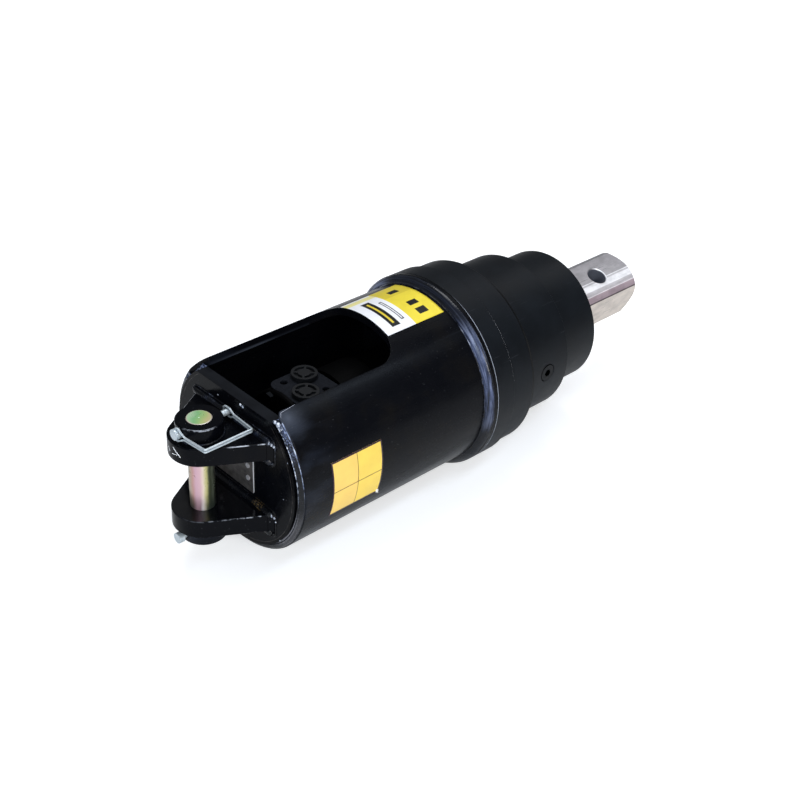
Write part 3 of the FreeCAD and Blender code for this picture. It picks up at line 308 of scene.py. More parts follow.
def yellowChromateZinc(look):
    # yellow chromate over zinc on turned bar: a thin milky film in bands of pink, straw and olive, laid out
    # across the view; the pale stops are painted highlights and the dark olive ones painted reflections of
    # dark surroundings
    material, add, shader, place = newMaterial("yellowChromateZinc")
    shader.inputs["Metallic"].default_value = look["metallic"]
    height = add("SeparateXYZ", [place], output="Z")
    wander = grain(add, place, 16)
    uneven = add("Math", (wander, 0.5), operation="SUBTRACT")
    across = add("VectorMath", (place, (0.713, -0.701, 0.0)), operation="DOT_PRODUCT")
    filmAndReflectionBand = add("Math", (add("MapRange", (across, -0.0158, 0.0158, 0.0, 1.0)), allOf(add, uneven, 0.12)),
               operation="ADD")
    side = add("ValToRGB", [filmAndReflectionBand], stops=[
        (0.05, "a89c88"), (0.14, "b89c8a"), (0.22, "c0938b"), (0.34, "c9a2ae"), (0.52, "cfaab0"),
        (0.62, "dcc8bb"), (0.68, "c8bd92"), (0.75, "aea86e"), (0.82, "4a5038"), (0.88, "3a3f2e"),
        (0.95, "5d6355"), (1.0, "2e322a")])
    # the foot's white stop is a painted highlight and its dark stops are painted reflections
    footFilmAndReflection = add("ValToRGB", [filmAndReflectionBand], stops=[
        (0.0, "5c5a50"), (0.2, "4e4c45"), (0.36, "b8949c"), (0.5, "94747b"), (0.58, "efe6e4"),
        (0.66, "c9c0b0"), (0.74, "39423a"), (1.0, "262d2a")])
    side = layered(add, side, (add("MapRange", (height, -0.022, -0.043, 0.0, 0.9)), footFilmAndReflection))
    # the top face's tints also run across the view, so they are partly painted reflection
    inner = add("Math", (across, allOf(add, uneven, 0.016)), operation="ADD")
    topFilmAndReflection = add("ValToRGB", [add("MapRange", (inner, -0.012, 0.012, 0.0, 1.0))],
               stops=[(0.0, "b9d8ae"), (0.3, "8fc88a"), (0.55, "a4cb84"), (0.8, "bdcb84"), (1.0, "cfc690")])
    away = fromAxis(add, place, (1, 1, 0))
    rim = add("MapRange", (away, look["rim"] * mm, (look["rim"] + 1.2) * mm, 0.0, 1.0))
    centreMark = add("MapRange", (away, 0.9 * mm, 0.6 * mm, 0.0, 1.0))
    topFilmAndReflection = layered(add, topFilmAndReflection, (rim, "e9dccb"), (centreMark, "ffffff"))
    top = add("MapRange", (height, (look["top"] - 1.8) * mm, (look["top"] - 1.6) * mm, 0.0, 1.0))
    rings = add("TexWave", {"Vector": place, "Scale": perMm(1.2) / 6.3, "Distortion": 0.6}, "Fac",
                bands_direction="Z")
    dress(add, shader, layered(add, side, (top, topFilmAndReflection)), (wander, 0.2, 0.8, 0.24, 0.36), rings, 0.02, 0.2)
    return material


def plainMetal(name, look):
    # worked metal: the grain runs along the stretch, with duller and brighter patches
    material, add, shader, place = newMaterial(name)
    shader.inputs["Metallic"].default_value = look["metallic"]
    lines = grain(add, place, look["grain"], 4.0)
    both = add("Mix", {"Factor": 0.5, "A": lines, "B": grain(add, place, look["patch"], 4.0)})
    tint = add("ValToRGB", [both], stops=[(0.35, look["dark"]), (0.65, look["pale"])])
    if "rim" in look:  # the sheared near edge catches the light
        across = add("SeparateXYZ", [place], output="Y")
        sheared = add("MapRange", (across, (look["rim"] + 1.2) * mm, (look["rim"] + 0.8) * mm, 0.0, 1.0))
        tint = layered(add, tint, (sheared, "f0f0f2"))
    gloss = (both, 0.3, 0.7, look["rough"] - 0.05, look["rough"] + 0.07)
    dress(add, shader, tint, gloss, lines, look["bump"], 0.2, look.get("edge", 0.0))
    return material


def milledShaftSteel(look):
    # bright milled bar: bands of painted highlight and painted reflection lie side by side along the shaft:
    # white highlight bands, a pink band, a dark reflected line and the pale reflection of the floor on the
    # side
    material, add, shader, place = newMaterial("milledShaftSteel")
    shader.inputs["Metallic"].default_value = look["metallic"]
    turn = math.radians(look["turn"])
    facing = (0, -math.cos(turn), -math.sin(turn))  # along one flat of the square
    across = add("VectorMath", (place, facing), operation="DOT_PRODUCT")
    lines = grain(add, place, (60, 1.2, 1.2), 4.0)
    mottle = grain(add, place, (22, 12, 12), 5.0, 0.6)
    bands = [(-40, "8b888c"), (4.5, "a4a1a4"), (5.8, "a4a1a4"), (6.2, "f0eff2"), (7.0, "f0eff2"),
             (7.6, "bcb9bd"), (9.6, "c2bfc3"), (10.6, "e8e7ea"), (20.4, "f2f1f4"), (21.6, "c2bec2"),
             (28.0, "b0abae"), (28.8, "f4ecf0"), (29.4, "f4ecf0"), (30.2, "c2adb4"), (35.8, "bba6ae"),
             (36.5, "544b50"), (37.3, "5c5354"), (37.45, "d6cabf"), (40, "d0c3b7")]
    half = bands[-1][0]
    tint = add("ValToRGB", [add("MapRange", (across, -half * mm, half * mm, 0.0, 1.0))],
               stops=[((at + half) / (2 * half), colour) for at, colour in bands])
    tint = shaded(add, tint, add("ValToRGB", [lines], stops=[(0.3, 0.90), (0.62, 1.0)]),
                  add("ValToRGB", [mottle], stops=[(0.36, 0.76), (0.6, 1.0)]))
    along = add("SeparateXYZ", [place], output="X")
    hole = add("CombineXYZ", (add("Math", (along, look["hole"] * mm), operation="SUBTRACT"), across))
    reach = add("VectorMath", [hole], operation="LENGTH")
    bore = add("MapRange", (reach, look["bore"] * mm, (look["bore"] + 0.3) * mm, 1.0, 0.0))
    # a painted white highlight on one side of the hole's rim
    lip = allOf(add, add("Math", (reach, (look["bore"] + 1.0) * mm, 0.7 * mm), operation="COMPARE"),
                add("MapRange", (along, (look["hole"] + 3) * mm, (look["hole"] + 9) * mm, 0.0, 1.0)))
    tint = layered(add, tint, (bore, "787c88"), (lip, "fafafc"))
    gloss = (lines, 0.3, 0.7, look["rough"] - 0.05, look["rough"] + 0.07)
    dress(add, shader, tint, gloss, lines, 0.09, 0.2)
    return material


def mouldedPlastic(name, dark, pale, rough):
    # injection-moulded black polyethylene or nitrile rubber: soft sheen, very fine mould texture
    material, add, shader, place = newMaterial(name)
    shader.inputs["Specular IOR Level"].default_value = 0.3
    fine = grain(add, place, 0.9)
    tint = add("ValToRGB", [fine], stops=[(0.3, dark), (0.8, pale)])
    dress(add, shader, tint, (fine, 0.2, 0.8, rough - 0.05, rough + 0.05), fine, 0.1, 0.3, 0.5)
    return material


def printedVinyl(name, look):
    # screen-printed self-adhesive vinyl: flat inks under a thin gloss, slightly rippled over the steel
    material, add, shader, place = newMaterial(name)
    shader.inputs["Specular IOR Level"].default_value = 0.3
    axes = add("SeparateXYZ", [add("UVMap", uv_map="sheet")]).node.outputs
    colour = add("ValToRGB", [axes[0]], stops=look["ramp"])
    for u0, u1, v0, v1, ink in look["marks"]:
        mask = allOf(add, add("Math", (axes[0], (u0 + u1) / 2, (u1 - u0) / 2), operation="COMPARE"),
                     add("Math", (axes[1], (v0 + v1) / 2, (v1 - v0) / 2), operation="COMPARE"))
        colour = layered(add, colour, (mask, ink))
    soil = grain(add, place, 20, 5.0)
    colour = shaded(add, colour, add("ValToRGB", [soil], stops=[(0.3, 0.90), (0.65, 1.0)]))
    dress(add, shader, colour, (soil, 0.2, 0.8, 0.3, 0.44), soil, 0.08, 1.0)
    return material


# on the tube, the first two strokes paint a highlight along the window's near edge, and the last three are
# pale scuffs low down
tubeLook = {"dark": "05060a", "middle": "08090d", "warm": "0f0e0e", "paintedSheen": 0.45, "specular": 0.08,
            "rough": 0.25, "peel": 2.6, "bump": 0.05, "edge": 1.2, "dust": 0.14, "streak": 0.15,
            "corner": (67, -84, 95), "cornerReach": 42, "lip": 74.5, "chipAndHighlightTint": "9699a4",
            "chipsAndHighlights": [((58.5, -80.8, 98.0), (62.0, -76.4, 101.5), 0.45),
                                            ((62.0, -76.4, 101.5), (84.0, -74.7, 102.8), 0.4),
                                            ((118, -97.0, -82.0), (150, -98.5, -80.2), 1.6),
                                            ((158, -99.0, -79.5), (190, -98.0, -80.7), 2.2),
                                            ((204, -96.5, -82.6), (222, -97.5, -81.4), 1.4)]}
hitchLook = dict(tubeLook, paintedSheen=0.0, rough=0.17, specular=0.06, peel=5.0, bump=0.12, edge=1.0, streak=0.1,
                 dust=0.3, chipsAndHighlights=[], chipAndHighlightTint="f2f3f5")
earChips = [((-39.0, -1.6, 56.7), (-37.2, -11.6, 47.8), 1.3), ((-37.8, 9.5, 51.5), (-38.2, 7.7, 46.9), 1.1),
            ((-39.0, 0.9, 46.6), (-38.2, -7.5, 48.6), 0.8)]
enamel = sprayedEnamel("sprayedTubeEnamel", tubeLook)
beadLook = {"specular": 0.25, "rough": 0.18, "bump": 0.12, "patch": 12, "rust": (47.0, -51.0, -42.5),
            "tints": ("07090d", "10141d", "262c3b"), "fade": (60, -50), "crest": 100}
beadEnamel = weldEnamel("enamelOverWeld", beadLook)
# the pale and bluish tints of the toes and of the rim bead are painted glints and painted highlights
toeEnamel = weldEnamel("weldToeGlint", dict(beadLook, patch=3.4, tints=("0d1017", "9aa3b6", "e6e9ef"),
                                             fade=(40, -10)))
blueToeEnamel = weldEnamel("bluishWeldToe", dict(beadLook, patch=12, tints=("0d1119", "7f8cab", "c3ccdd"),
                                                 fade=(50, 0)))
rimEnamel = weldEnamel("enamelOverRimWeld", dict(beadLook, patch=2.2, tints=("07090d", "3e4760", "7f8bab"),
                                                 glint=117.5, fade=(78, 48)))
brightZinc = plainMetal("clearZincPlate", {"metallic": 0.55, "grain": (3, 3, 3), "patch": 6, "dark": "b4c0c6",
                                           "pale": "ccd3d8", "rough": 0.38, "bump": 0.03})
finishes = {
    "black_paint": enamel,
    "case_paint": turnedCasePaint({"dark": "0a0d11", "pale": "101419", "specular": 0.13, "rough": 0.44,
                                   "seamHighlightsAndShadows": [(408.5, 0.55, "f4f6fa", 105), (376.9, 0.4, "9aa0ac", 120),
                                             (375.5, 0.7, "010101", 200), (449.6, 1.7, "000000", 120)],
                                   "groove": 449.6}),
    "motor_paint": castMotorPaint({"specular": 0.03, "face": 59.5, "block": 161.5, "halfLength": 34.2}),
    "yellow_zinc": yellowChromateZinc({"metallic": 0.4, "top": 82, "rim": 13.7}),
    "bright_zinc": brightZinc,
    "plate_aluminium": plainMetal("satinAluminiumSheet", {"metallic": 0.65, "grain": (5, 60, 0.8), "patch": 9,
                                                          "dark": "3f3c3a", "pale": "716d6b", "rough": 0.46,
                                                          "bump": 0.1, "edge": 0.8, "rim": -39}),
    "black_oxide": plainMetal("blackOxideSteel", {"metallic": 1.0, "grain": (2, 2, 2), "patch": 6,
                                                  "dark": "0c0d0f", "pale": "17191c", "rough": 0.38,
                                                  "bump": 0.05}),
    "gear_steel": plainMetal("oiledGroundSteel", {"metallic": 1.0, "grain": (30, 0.8, 0.8), "patch": 18,
                                                  "dark": "777a7f", "pale": "a9adb3", "rough": 0.3,
                                                  "bump": 0.06}),
    "shaft_steel": milledShaftSteel({"metallic": 0.4, "turn": 19.9, "hole": 721.0, "bore": 14.6,
                                     "rough": 0.32}),
    "seal_rubber": mouldedPlastic("nitrileRubber", "0b0b0c", "17181a", 0.5),
    "cap_plastic": mouldedPlastic("mouldedPolyethylene", "0d0e10", "18191c", 0.4),
}
ownFinish = {
    "ear_upper": sprayedEnamel("floodedEarEnamel", dict(hitchLook, chipsAndHighlights=earChips,
                                                        edgeHighlight=(9, 0.8, (1, 0, 0), 4, 12))),
    "ear_lower": sprayedEnamel("lowerEarEnamel", dict(hitchLook, shine=0.5, rough=0.13, bump=0.06,
                                                      edgeHighlight=(7, 0.65, (1, 0, 0), -40, 30))),
    "boss_upper": sprayedEnamel("bossCollarEnamel", dict(hitchLook,
                                                         edgeHighlight=(5, 0.5, (-0.56, -0.83, 0), 20, 27))),
    "boss_lower": enamel,
    "hitch_plate": sprayedEnamel("platePaintedEdge", dict(hitchLook, strip=91.5, root=112.6)),
    "name_plate_rivets": plainMetal("domedRivetHead", {"metallic": 0.4, "grain": (2, 2, 2), "patch": 5,
                                                       "dark": "a3a1a4", "pale": "c6c5c8", "rough": 0.3,
                                                       "bump": 0.03}),
    "flange_weld": beadEnamel,
    "plate_weld": rimEnamel,
}
ownFinish["ear_welds"] = ownFinish["hitch_plate"]
nodeSlots = {row["node"]: row["material_slot"] for row in frame["record"]["subparts"]}
for nodeName, node in frame["nodes"].items():
    finish = ownFinish.get(nodeName, finishes[nodeSlots[nodeName]])
    if not node.material_slots:
        node.data.materials.append(finish)
    for holder in node.material_slots:
        holder.material = finish
print("materials set on", len(nodeSlots), "nodes")


# weld beads, laid over the fillets that the model has

def beadRing(bm, centre, outward, along, wide, high):
    side = outward.cross(along).normalized()
    grid = Matrix((outward * high, side * wide, along)).transposed().to_4x4()
    place = Matrix.Translation(centre) @ grid
    return bmesh.ops.create_circle(bm, segments=12, radius=1.0, matrix=place)["verts"]


ringsAtOnce = 24


def beadAlong(bm, path, closed, look, seed):
    # path holds (centre, outward) pairs; each ring swells and sinks with the ripples of the bead
    rings = []
    count = len(path)
    travelled = 0.0
    for i, (centre, outward) in enumerate(path):
        ahead = path[(i + 1) % count][0] if closed or i < count - 1 else centre
        behind = path[i - 1][0] if closed or i > 0 else centre
        along = (ahead - behind).normalized()
        if i:
            travelled += (centre - path[i - 1][0]).length
        phase = travelled / (look["pitch"] * mm)
        phase += 0.45 * noise.noise(Vector((phase * 0.31, seed, 0.0)))  # a hand-laid bead isn't quite even
        ripple = abs(math.sin(math.pi * phase)) ** 0.7
        swell = noise.noise(Vector((travelled * look.get("lumps", 60), seed * 3.1, 7.0)))
        grown = (look["ripple"] * (ripple - 0.6) + look["wander"] * swell) * mm
        taper = 1.0 if closed else min(1.0, 0.3 + 0.9 * min(i, count - 1 - i) / 4)  # both ends run out
        wide = max(0.3 * mm, look["wide"] * mm + grown * look["wide"] / look["high"] * 0.5) * taper
        rings.append((centre, outward, along, wide, max(0.3 * mm, look["high"] * mm + grown) * taper))
    if closed:
        rings.append(rings[0])
    for start in range(0, len(rings) - 1, ringsAtOnce):  # short lengths keep the bridging quick
        part = bmesh.new()
        made = [beadRing(part, *ring) for ring in rings[start:start + ringsAtOnce + 1]]
        for one, two in zip(made, made[1:]):
            edges = {edge for loop in (one, two) for vert in loop for edge in vert.link_edges
                     if edge.other_vert(vert) in loop}
            bmesh.ops.bridge_loops(part, edges=list(edges))
        ends = [] if closed else [made[0]] * (start == 0) + [made[-1]] * (start + len(made) == len(rings))
        for end in ends:
            bmesh.ops.contextual_create(part, geom=end)
        holder = bpy.data.meshes.new("beadLength")
        part.to_mesh(holder)
        part.free()
        bm.from_mesh(holder)
        bpy.data.meshes.remove(holder)


def arcPath(x, r, start, end, steps, lean):
    # degrees from +Z towards -Y; lean turns the outward side from radial (0) to -X (90)
    path = []
    tip = math.radians(lean)
    for i in range(steps + 1):
        a = math.radians(start + (end - start) * i / steps)
        radial = Vector((0, -math.sin(a), math.cos(a)))
        outward = radial * math.cos(tip) - Vector((math.sin(tip), 0, 0))
        path.append((Vector((x, 0, 0)) * mm + radial * r * mm, outward))
    return path


rimBead = {"x": 56.6, "r": 121.6, "near": 41.6, "far": 304.0, "steps": 620, "lean": 66, "wide": 4.2,
           "high": 2.5, "ripple": 0.35, "wander": 0.5, "pitch": 2.8}
rimToes = [{"x": 54.0, "r": 119.1, "lean": 75, "wide": 0.8, "high": 0.9, "ripple": 0.35, "wander": 0.5,
            "pitch": 2.1, "lumps": 190},
           {"x": 57.9, "r": 125.2, "lean": 45, "wide": 0.8, "high": 0.9, "ripple": 0.2, "wander": 0.45,
            "pitch": 3.7, "lumps": 150}]
for name, seed, look, paint in (("plateRimBead", 1.0, rimBead, rimEnamel),
                                ("plateRimInnerToe", 2.0, rimToes[0], toeEnamel),
                                ("plateRimOuterToe", 3.0, rimToes[1], blueToeEnamel)):
    bm = bmesh.new()
    path = arcPath(look["x"], look["r"], rimBead["near"], rimBead["far"], rimBead["steps"], look["lean"])
    beadAlong(bm, path, False, look, seed)
    addPiece(name, meshFrom(bm, name), paint, "drive")

flangeBead = {"x": 366.1, "r": 131.5, "steps": 720, "lean": 49.4, "wide": 7.1, "high": 2.2, "ripple": 0.2,
              "wander": 0.5, "pitch": 3.4}
flangeToes = [{"x": 361.2, "r": 127.2, "lean": 60, "wide": 0.8, "high": 0.9, "ripple": 0.3, "wander": 0.6,
               "pitch": 3.0, "lumps": 130},
              {"x": 370.0, "r": 136.2, "lean": 20, "wide": 0.7, "high": 0.5, "ripple": 0.1, "wander": 0.2,
               "pitch": 4.0}]
flangeLook = dict(beadLook, specular=0.3, rough=0.2, bump=0.04, fade=(30, -35), crest=90)
# the bluish tints of the flange bead and its inner toe are a painted highlight band
flangeEnamel = weldEnamel("smoothFlangeEnamel", dict(flangeLook, patch=4, drawn=0.1,
                                                     tints=("090b10", "454f6c", "7f89a8")))
flangeToeEnamel = weldEnamel("flangeToeGlint", dict(flangeLook, patch=16,
                                                     tints=("0b0d13", "4a5268", "a3a9bb")))
for name, seed, look, paint in (("flangeBead", 4.0, flangeBead, flangeEnamel),
                                ("flangeInnerToe", 5.0, flangeToes[0], flangeToeEnamel),
                                ("flangeOuterToe", 6.0, flangeToes[1], beadEnamel)):
    bm = bmesh.new()
    path = arcPath(look["x"], look["r"], 0, 360, flangeBead["steps"], look["lean"])[:-1]
    beadAlong(bm, path, True, look, seed)
    addPiece(name, meshFrom(bm, name), paint, "drive")

earBead = {"x": 47.9, "half": 75.2, "lift": 1.4, "step": 0.75, "wide": 4.7, "high": 4.7, "ripple": 0.5,
           "wander": 0.9, "pitch": 3.0, "faces": ((37.0, 62.0), (-70.0, -45.0)), "drop": 2.4,
           "upperMore": 0.9, "swell": 1.5}
earToe = {"x": 49.4, "half": 81.0, "lift": 8.2, "corner": 9.0, "step": 0.75, "turnIn": 12, "wide": 0.8,
          "high": 0.9, "ripple": 0.25, "wander": 0.5, "pitch": 2.6, "lumps": 160}


def earLoop(look, low, high):
    # round a rectangle of the ear's size on the plate, corners turned with a small radius
    bm = bmesh.new()
    made = bmesh.ops.create_grid(bm, x_segments=1, y_segments=1, size=1.0)
    tall = (high - low) / 2 + look["lift"]
    bmesh.ops.transform(bm, verts=made["verts"], matrix=Matrix.Diagonal((look["half"], tall, 1, 1)))
    bmesh.ops.bevel(bm, geom=bm.verts[:], offset=look["corner"], offset_type="OFFSET", segments=5,
                    profile=0.5, affect="VERTICES", material=-1)
    ring = [loop.vert.co.copy() for loop in bm.faces[:][0].loops]
    bm.free()
    path = []
    for a, b in zip(ring, ring[1:] + ring[:1]):
        steps = max(1, round((b - a).length / look["step"]))
        reach = look["half"] - look["turnIn"]
        for k in range(steps):
            spot = a.lerp(b, k / steps)
            inward = Vector((max(-reach, min(reach, spot.x)), 0, 0))
            away = (spot - inward).normalized()
            outward = Vector((-1, away.x, away.y)).normalized()
            path.append((Vector((look["x"], spot.x, spot.y + (low + high) / 2)) * mm, outward))
    return path


def lump(bm, centre, size, squash, seed):
    # a drop of weld metal: a round blob pushed in and out by noise
    made = bmesh.ops.create_icosphere(bm, subdivisions=3, radius=1.0)["verts"]
    for vert in made:
        push = 1.0 + 0.28 * noise.noise(vert.co * 1.6 + Vector((seed, 0, 0)))
        vert.co = Vector(centre) * mm + Vector((vert.co.x * squash, vert.co.y, vert.co.z)) * size * push * mm


# its paler tints paint a glint along the toes round the ears
earToeEnamel = weldEnamel("softEarToe", dict(beadLook, patch=11, tints=("07080b", "141821", "5a6272"),
                                             fade=(90, 20)))
bm = bmesh.new()  # gathers the beads at both ears' roots, and then those round the bosses
toes = bmesh.new()
for seed, (low, high) in enumerate(earBead["faces"]):
    beadAlong(toes, earLoop(earToe, low, high), True, earToe, 11.0 + seed)
    for z, up in ((low - earBead["lift"], -1), (high + earBead["lift"], 1)):
        count = round(2 * earBead["half"] / earBead["step"])
        spots = [Vector((earBead["x"], -earBead["half"] + earBead["step"] * i, z)) for i in range(count)]
        beadAlong(bm, [(spot * mm, Vector((-0.7, 0, 0.7 * up))) for spot in spots], False, earBead, 7.0 + z)
        for side in (-1, 1):
            for k in range(3):  # three drops run into each other where the bead ends
                swell = earBead["swell"] * noise.noise(Vector((z, side, seed + 4.3 * k)))
                size = earBead["drop"] + earBead["upperMore"] * (up > 0) + swell
                spot = (47.2 + 0.6 * k, side * (earBead["half"] - 4.5 + 3.2 * k), z + 0.5 * k * up)
                lump(bm, spot, size, 0.9, 3.0 + z + side + k)
addPiece("earRootToes", meshFrom(toes, "earRootToes"), earToeEnamel, "drive")
bossBead = {"r": 29.3, "faces": (62.2, -70.2), "steps": 260, "wide": 1.5, "high": 1.5, "ripple": 0.25,
            "wander": 0.2, "pitch": 2.2}
for seed, z in enumerate(bossBead["faces"]):
    ring = []
    for i in range(bossBead["steps"]):
        a = 2 * math.pi * i / bossBead["steps"]
        out = Vector((math.cos(a), math.sin(a), 0))
        ring.append(((out * bossBead["r"] + Vector((0, 0, z))) * mm, out))
    beadAlong(bm, ring, True, bossBead, 15.0 + seed)
addPiece("earRootBeads", meshFrom(bm, "earRootBeads"), beadEnamel, "drive")

# drops of weld metal on the plate and at the corners, each with its place and size
spatterDrops = [((46.0, -73.5, 64.0), 2.0), ((46.8, -77.5, 63.6), 2.4), ((47.6, -81.0, 62.0), 1.8),
                ((46.5, -76.5, -43.3), 1.9), ((47.8, -80.0, -45.5), 1.6), ((48.5, -81.5, -51.0), 1.1),
                ((50.2, -15.5, 86.5), 2.5), ((50.0, -20.0, 86.0), 2.1), ((53.0, -76.5, 92.0), 2.6),
                ((54.0, -81.5, 90.5), 3.2), ((55.0, -86.0, 87.0), 2.2), ((49.9, -62.0, 66.8), 1.2),
                ((49.8, -104.2, 50.3), 0.9), ((49.8, -96.0, -7.7), 0.8), ((49.8, -88.0, -76.0), 0.9),
                ((49.9, 30.0, 78.0), 1.1), ((49.8, 70.0, -84.0), 1.0)]
bm = bmesh.new()
for seed, (spot, size) in enumerate(spatterDrops):
    lump(bm, spot, size, 0.7, 20.0 + seed)
# the drops' pale tints are painted glints
dropEnamel = weldEnamel("dropsPaintedGlint", dict(beadLook, patch=3, tints=("4c5362", "aab2c2", "f2f4f8"),
                                                    fade=(-200, -300)))
addPiece("weldSpatter", meshFrom(bm, "weldSpatter"), dropEnamel, "drive")
print("weld beads laid")


# bent wires

def wirePiece(name, route, wire, bendRadius):
    # stiff wire: each corner of the route gets a point on both sides of it, so that it bends just there
    points = []
    for i, spot in enumerate(route):
        here = Vector(spot)
        if 0 < i < len(route) - 1:
            for other in (route[i - 1], route[i + 1]):
                run = Vector(other) - here
                points.append(here + run.normalized() * min(bendRadius, run.length * 0.4))
                if other is route[i - 1]:
                    points.append(here)
        else:
            points.append(here)
    curve = bpy.data.curves.new(name, "CURVE")
    curve.dimensions = "3D"
    spline = curve.splines.new("NURBS")
    spline.points.add(len(points) - 1)
    for target, spot in zip(spline.points, points):
        target.co = (*(spot * mm), 1.0)
    spline.order_u = 3
    spline.use_endpoint_u = True
    spline.resolution_u = 5
    curve.bevel_depth = wire / 2 * mm
    curve.bevel_resolution = 3
    curve.use_fill_caps = True
    holder = bpy.data.objects.new(name + "Curve", curve)
    bpy.context.scene.collection.objects.link(holder)
    mesh = bpy.data.meshes.new_from_object(holder)
    bpy.data.objects.remove(holder)
    bm = bmesh.new()
    bm.from_mesh(mesh)
    bmesh.ops.remove_doubles(bm, verts=bm.verts[:], dist=0.00002)
    return meshFrom(bm, name)


bail = {"wire": 2.6, "z": 72.5, "eye": -33.05, "reach": 50.0, "near": -27.5, "far": 40.0, "pinch": 1.7,
        "bend": 3.2}
eye, far, pinch = bail["eye"], bail["far"], bail["pinch"]
upperLeg = [(eye, 0, 4), (eye, 0, 8.6), (eye + 0.4, -3.2, 8.6), (eye + 1.8, -14.4, 1.7),
            (bail["near"], -bail["reach"], pinch), (far, -bail["reach"], pinch), (far + 1.4, -12, pinch),
            (far + 1.6, -5, 5.95), (far + 1.6, 4.5, 5.95), (far + 1.6, 8.0, 2.7)]
route = upperLeg + [(x, y, -z) for x, y, z in reversed(upperLeg)]
route = [(x, y, z + bail["z"]) for x, y, z in route]
piece = addPiece("bailWire", wirePiece("bailWire", route, bail["wire"], bail["bend"]), brightZinc,
                 "upper_lock")
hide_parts("lock_bail")

clip = {"wire": 2.6, "x": 33.0, "z": -80.5, "bow": 6.08, "bend": 2.6}
bow = clip["bow"]
sideView = [(-12, 0), (22, 0), (28, -3), (28, -8), (23, -10.5), (10, -bow), (4, -bow), (-4, -bow),
            (-9, -bow + 2.2), (-14, -bow)]
route = [(clip["x"], y, z + clip["z"]) for y, z in sideView]
piece = addPiece("springClipWire", wirePiece("springClipWire", route, clip["wire"], clip["bend"]), brightZinc,
                 "drive")
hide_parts("lock_clip")
print("wires bent")


# stickers

lengthCuts, roundCuts = 32, 40


def stickerSheet(name, look, material):
    # a strip along X, spun round the tube, then given its thickness outwards
    bm = bmesh.new()
    step = (look["x1"] - look["x0"]) / lengthCuts
    row = [bm.verts.new(Vector((look["x0"] + step * i, 0, look["r"])) * mm) for i in range(lengthCuts + 1)]
    edges = [bm.edges.new(pair) for pair in zip(row, row[1:])]
    start = Matrix.Rotation(math.radians(look["from"]), 3, "X")
    bmesh.ops.rotate(bm, verts=row, cent=(0, 0, 0), matrix=start)
    bmesh.ops.spin(bm, geom=row + edges, cent=(0, 0, 0), axis=(1, 0, 0), steps=roundCuts,
                   use_duplicate=False, angle=math.radians(look["to"] - look["from"]))
    bmesh.ops.remove_doubles(bm, verts=bm.verts[:], dist=0.00002)
    bmesh.ops.recalc_face_normals(bm, faces=bm.faces)
    if bm.faces[:][0].normal.dot(bm.faces[:][0].calc_center_median()) < 0:
        bmesh.ops.reverse_faces(bm, faces=bm.faces[:])
    layer = bm.loops.layers.uv.new("sheet")  # runs from 0 to 1 along the tube and round it
    for face in bm.faces:
        for loop in face.loops:
            spot = loop.vert.co
            turn = math.degrees(math.atan2(-spot.y, spot.z))
            loop[layer].uv = ((spot.x / mm - look["x0"]) / (look["x1"] - look["x0"]),
                              (turn - look["from"]) / (look["to"] - look["from"]))
    for vert in bm.verts:  # the loose corner curls off the tube
        turn = math.degrees(math.atan2(-vert.co.y, vert.co.z))
        near = (vert.co.x / mm - look["x1"]) / look["curl"] + (turn - look["to"]) / look["curlTurn"] + 1.0
        if near > 0:
            out = Vector((0, vert.co.y, vert.co.z)).normalized()
            vert.co += (out * look["lift"] - Vector((look["lift"] * 0.4, 0, 0))) * near ** 2 * mm
    bmesh.ops.solidify(bm, geom=bm.faces[:], thickness=-look["thick"] * mm)
    slant = Vector((1, 0.37, 0.11))  # spin gives the faces in another order each run, so they are sorted
    bm.verts.sort(key=lambda vert: vert.co.dot(slant))
    bm.edges.sort(key=lambda edge: (edge.verts[0].co + edge.verts[1].co).dot(slant))
    bm.faces.sort(key=lambda face: face.calc_center_median().dot(slant))
    addPiece(name, meshFrom(bm, name), material, "drive")


crownSheet = {"x0": 258.0, "x1": 356.0, "from": -21.5, "to": 21.5, "r": 127.06, "thick": 0.15, "curl": 6.0,
              "curlTurn": 2.5, "lift": 0.4}
black, white = "121214", "efeff2"
crownInk = {"ramp": [(0.0, white), (0.494, white), (0.498, "ecd640"), (1.0, "ecd640")],
            "marks": [(0.50, 1.0, 0.0, 0.35, "dcc63a"), (0.0, 0.495, 0.05, 0.17, "efe49a"),
                      (0.67, 0.83, 0.76, 0.88, black), (0.67, 0.83, 0.58, 0.68, black),
                      (0.67, 0.83, 0.18, 0.28, black),
                      (0.16, 0.30, 0.24, 0.90, black), (0.21, 0.245, 0.30, 0.84, "e2c93c"),
                      (0.37, 0.42, 0.36, 0.84, "2b2c30"), (0.385, 0.405, 0.38, 0.82, white)]}
stickerSheet("crownSticker", crownSheet, printedVinyl("printedCrownVinyl", crownInk))
sideSheet = {"x0": 101.0, "x1": 181.5, "from": 73.7, "to": 111.0, "r": 127.06, "thick": 0.15, "curl": 9.0,
             "curlTurn": 4.2, "lift": 3.0}
line, border = "4a2015", "3b2630"
sideInk = {"ramp": [(0.0, "f3cc69"), (0.49, "f3cc69"), (0.51, "f2d05a"), (1.0, "f2d05a")],
           "marks": [(0.495, 0.505, 0.0, 1.0, line), (0.0, 1.0, 0.512, 0.524, line),
                     (0.0, 1.0, 0.0, 0.026, border), (0.0, 1.0, 0.974, 1.0, border),
                     (0.0, 0.024, 0.0, 1.0, border), (0.976, 1.0, 0.0, 1.0, border),
                     (0.955, 1.0, 0.94, 1.0, "f4f4f2")]}
stickerSheet("sideSticker", sideSheet, printedVinyl("printedSideVinyl", sideInk))
print("stickers laid")


# floor, light and camera

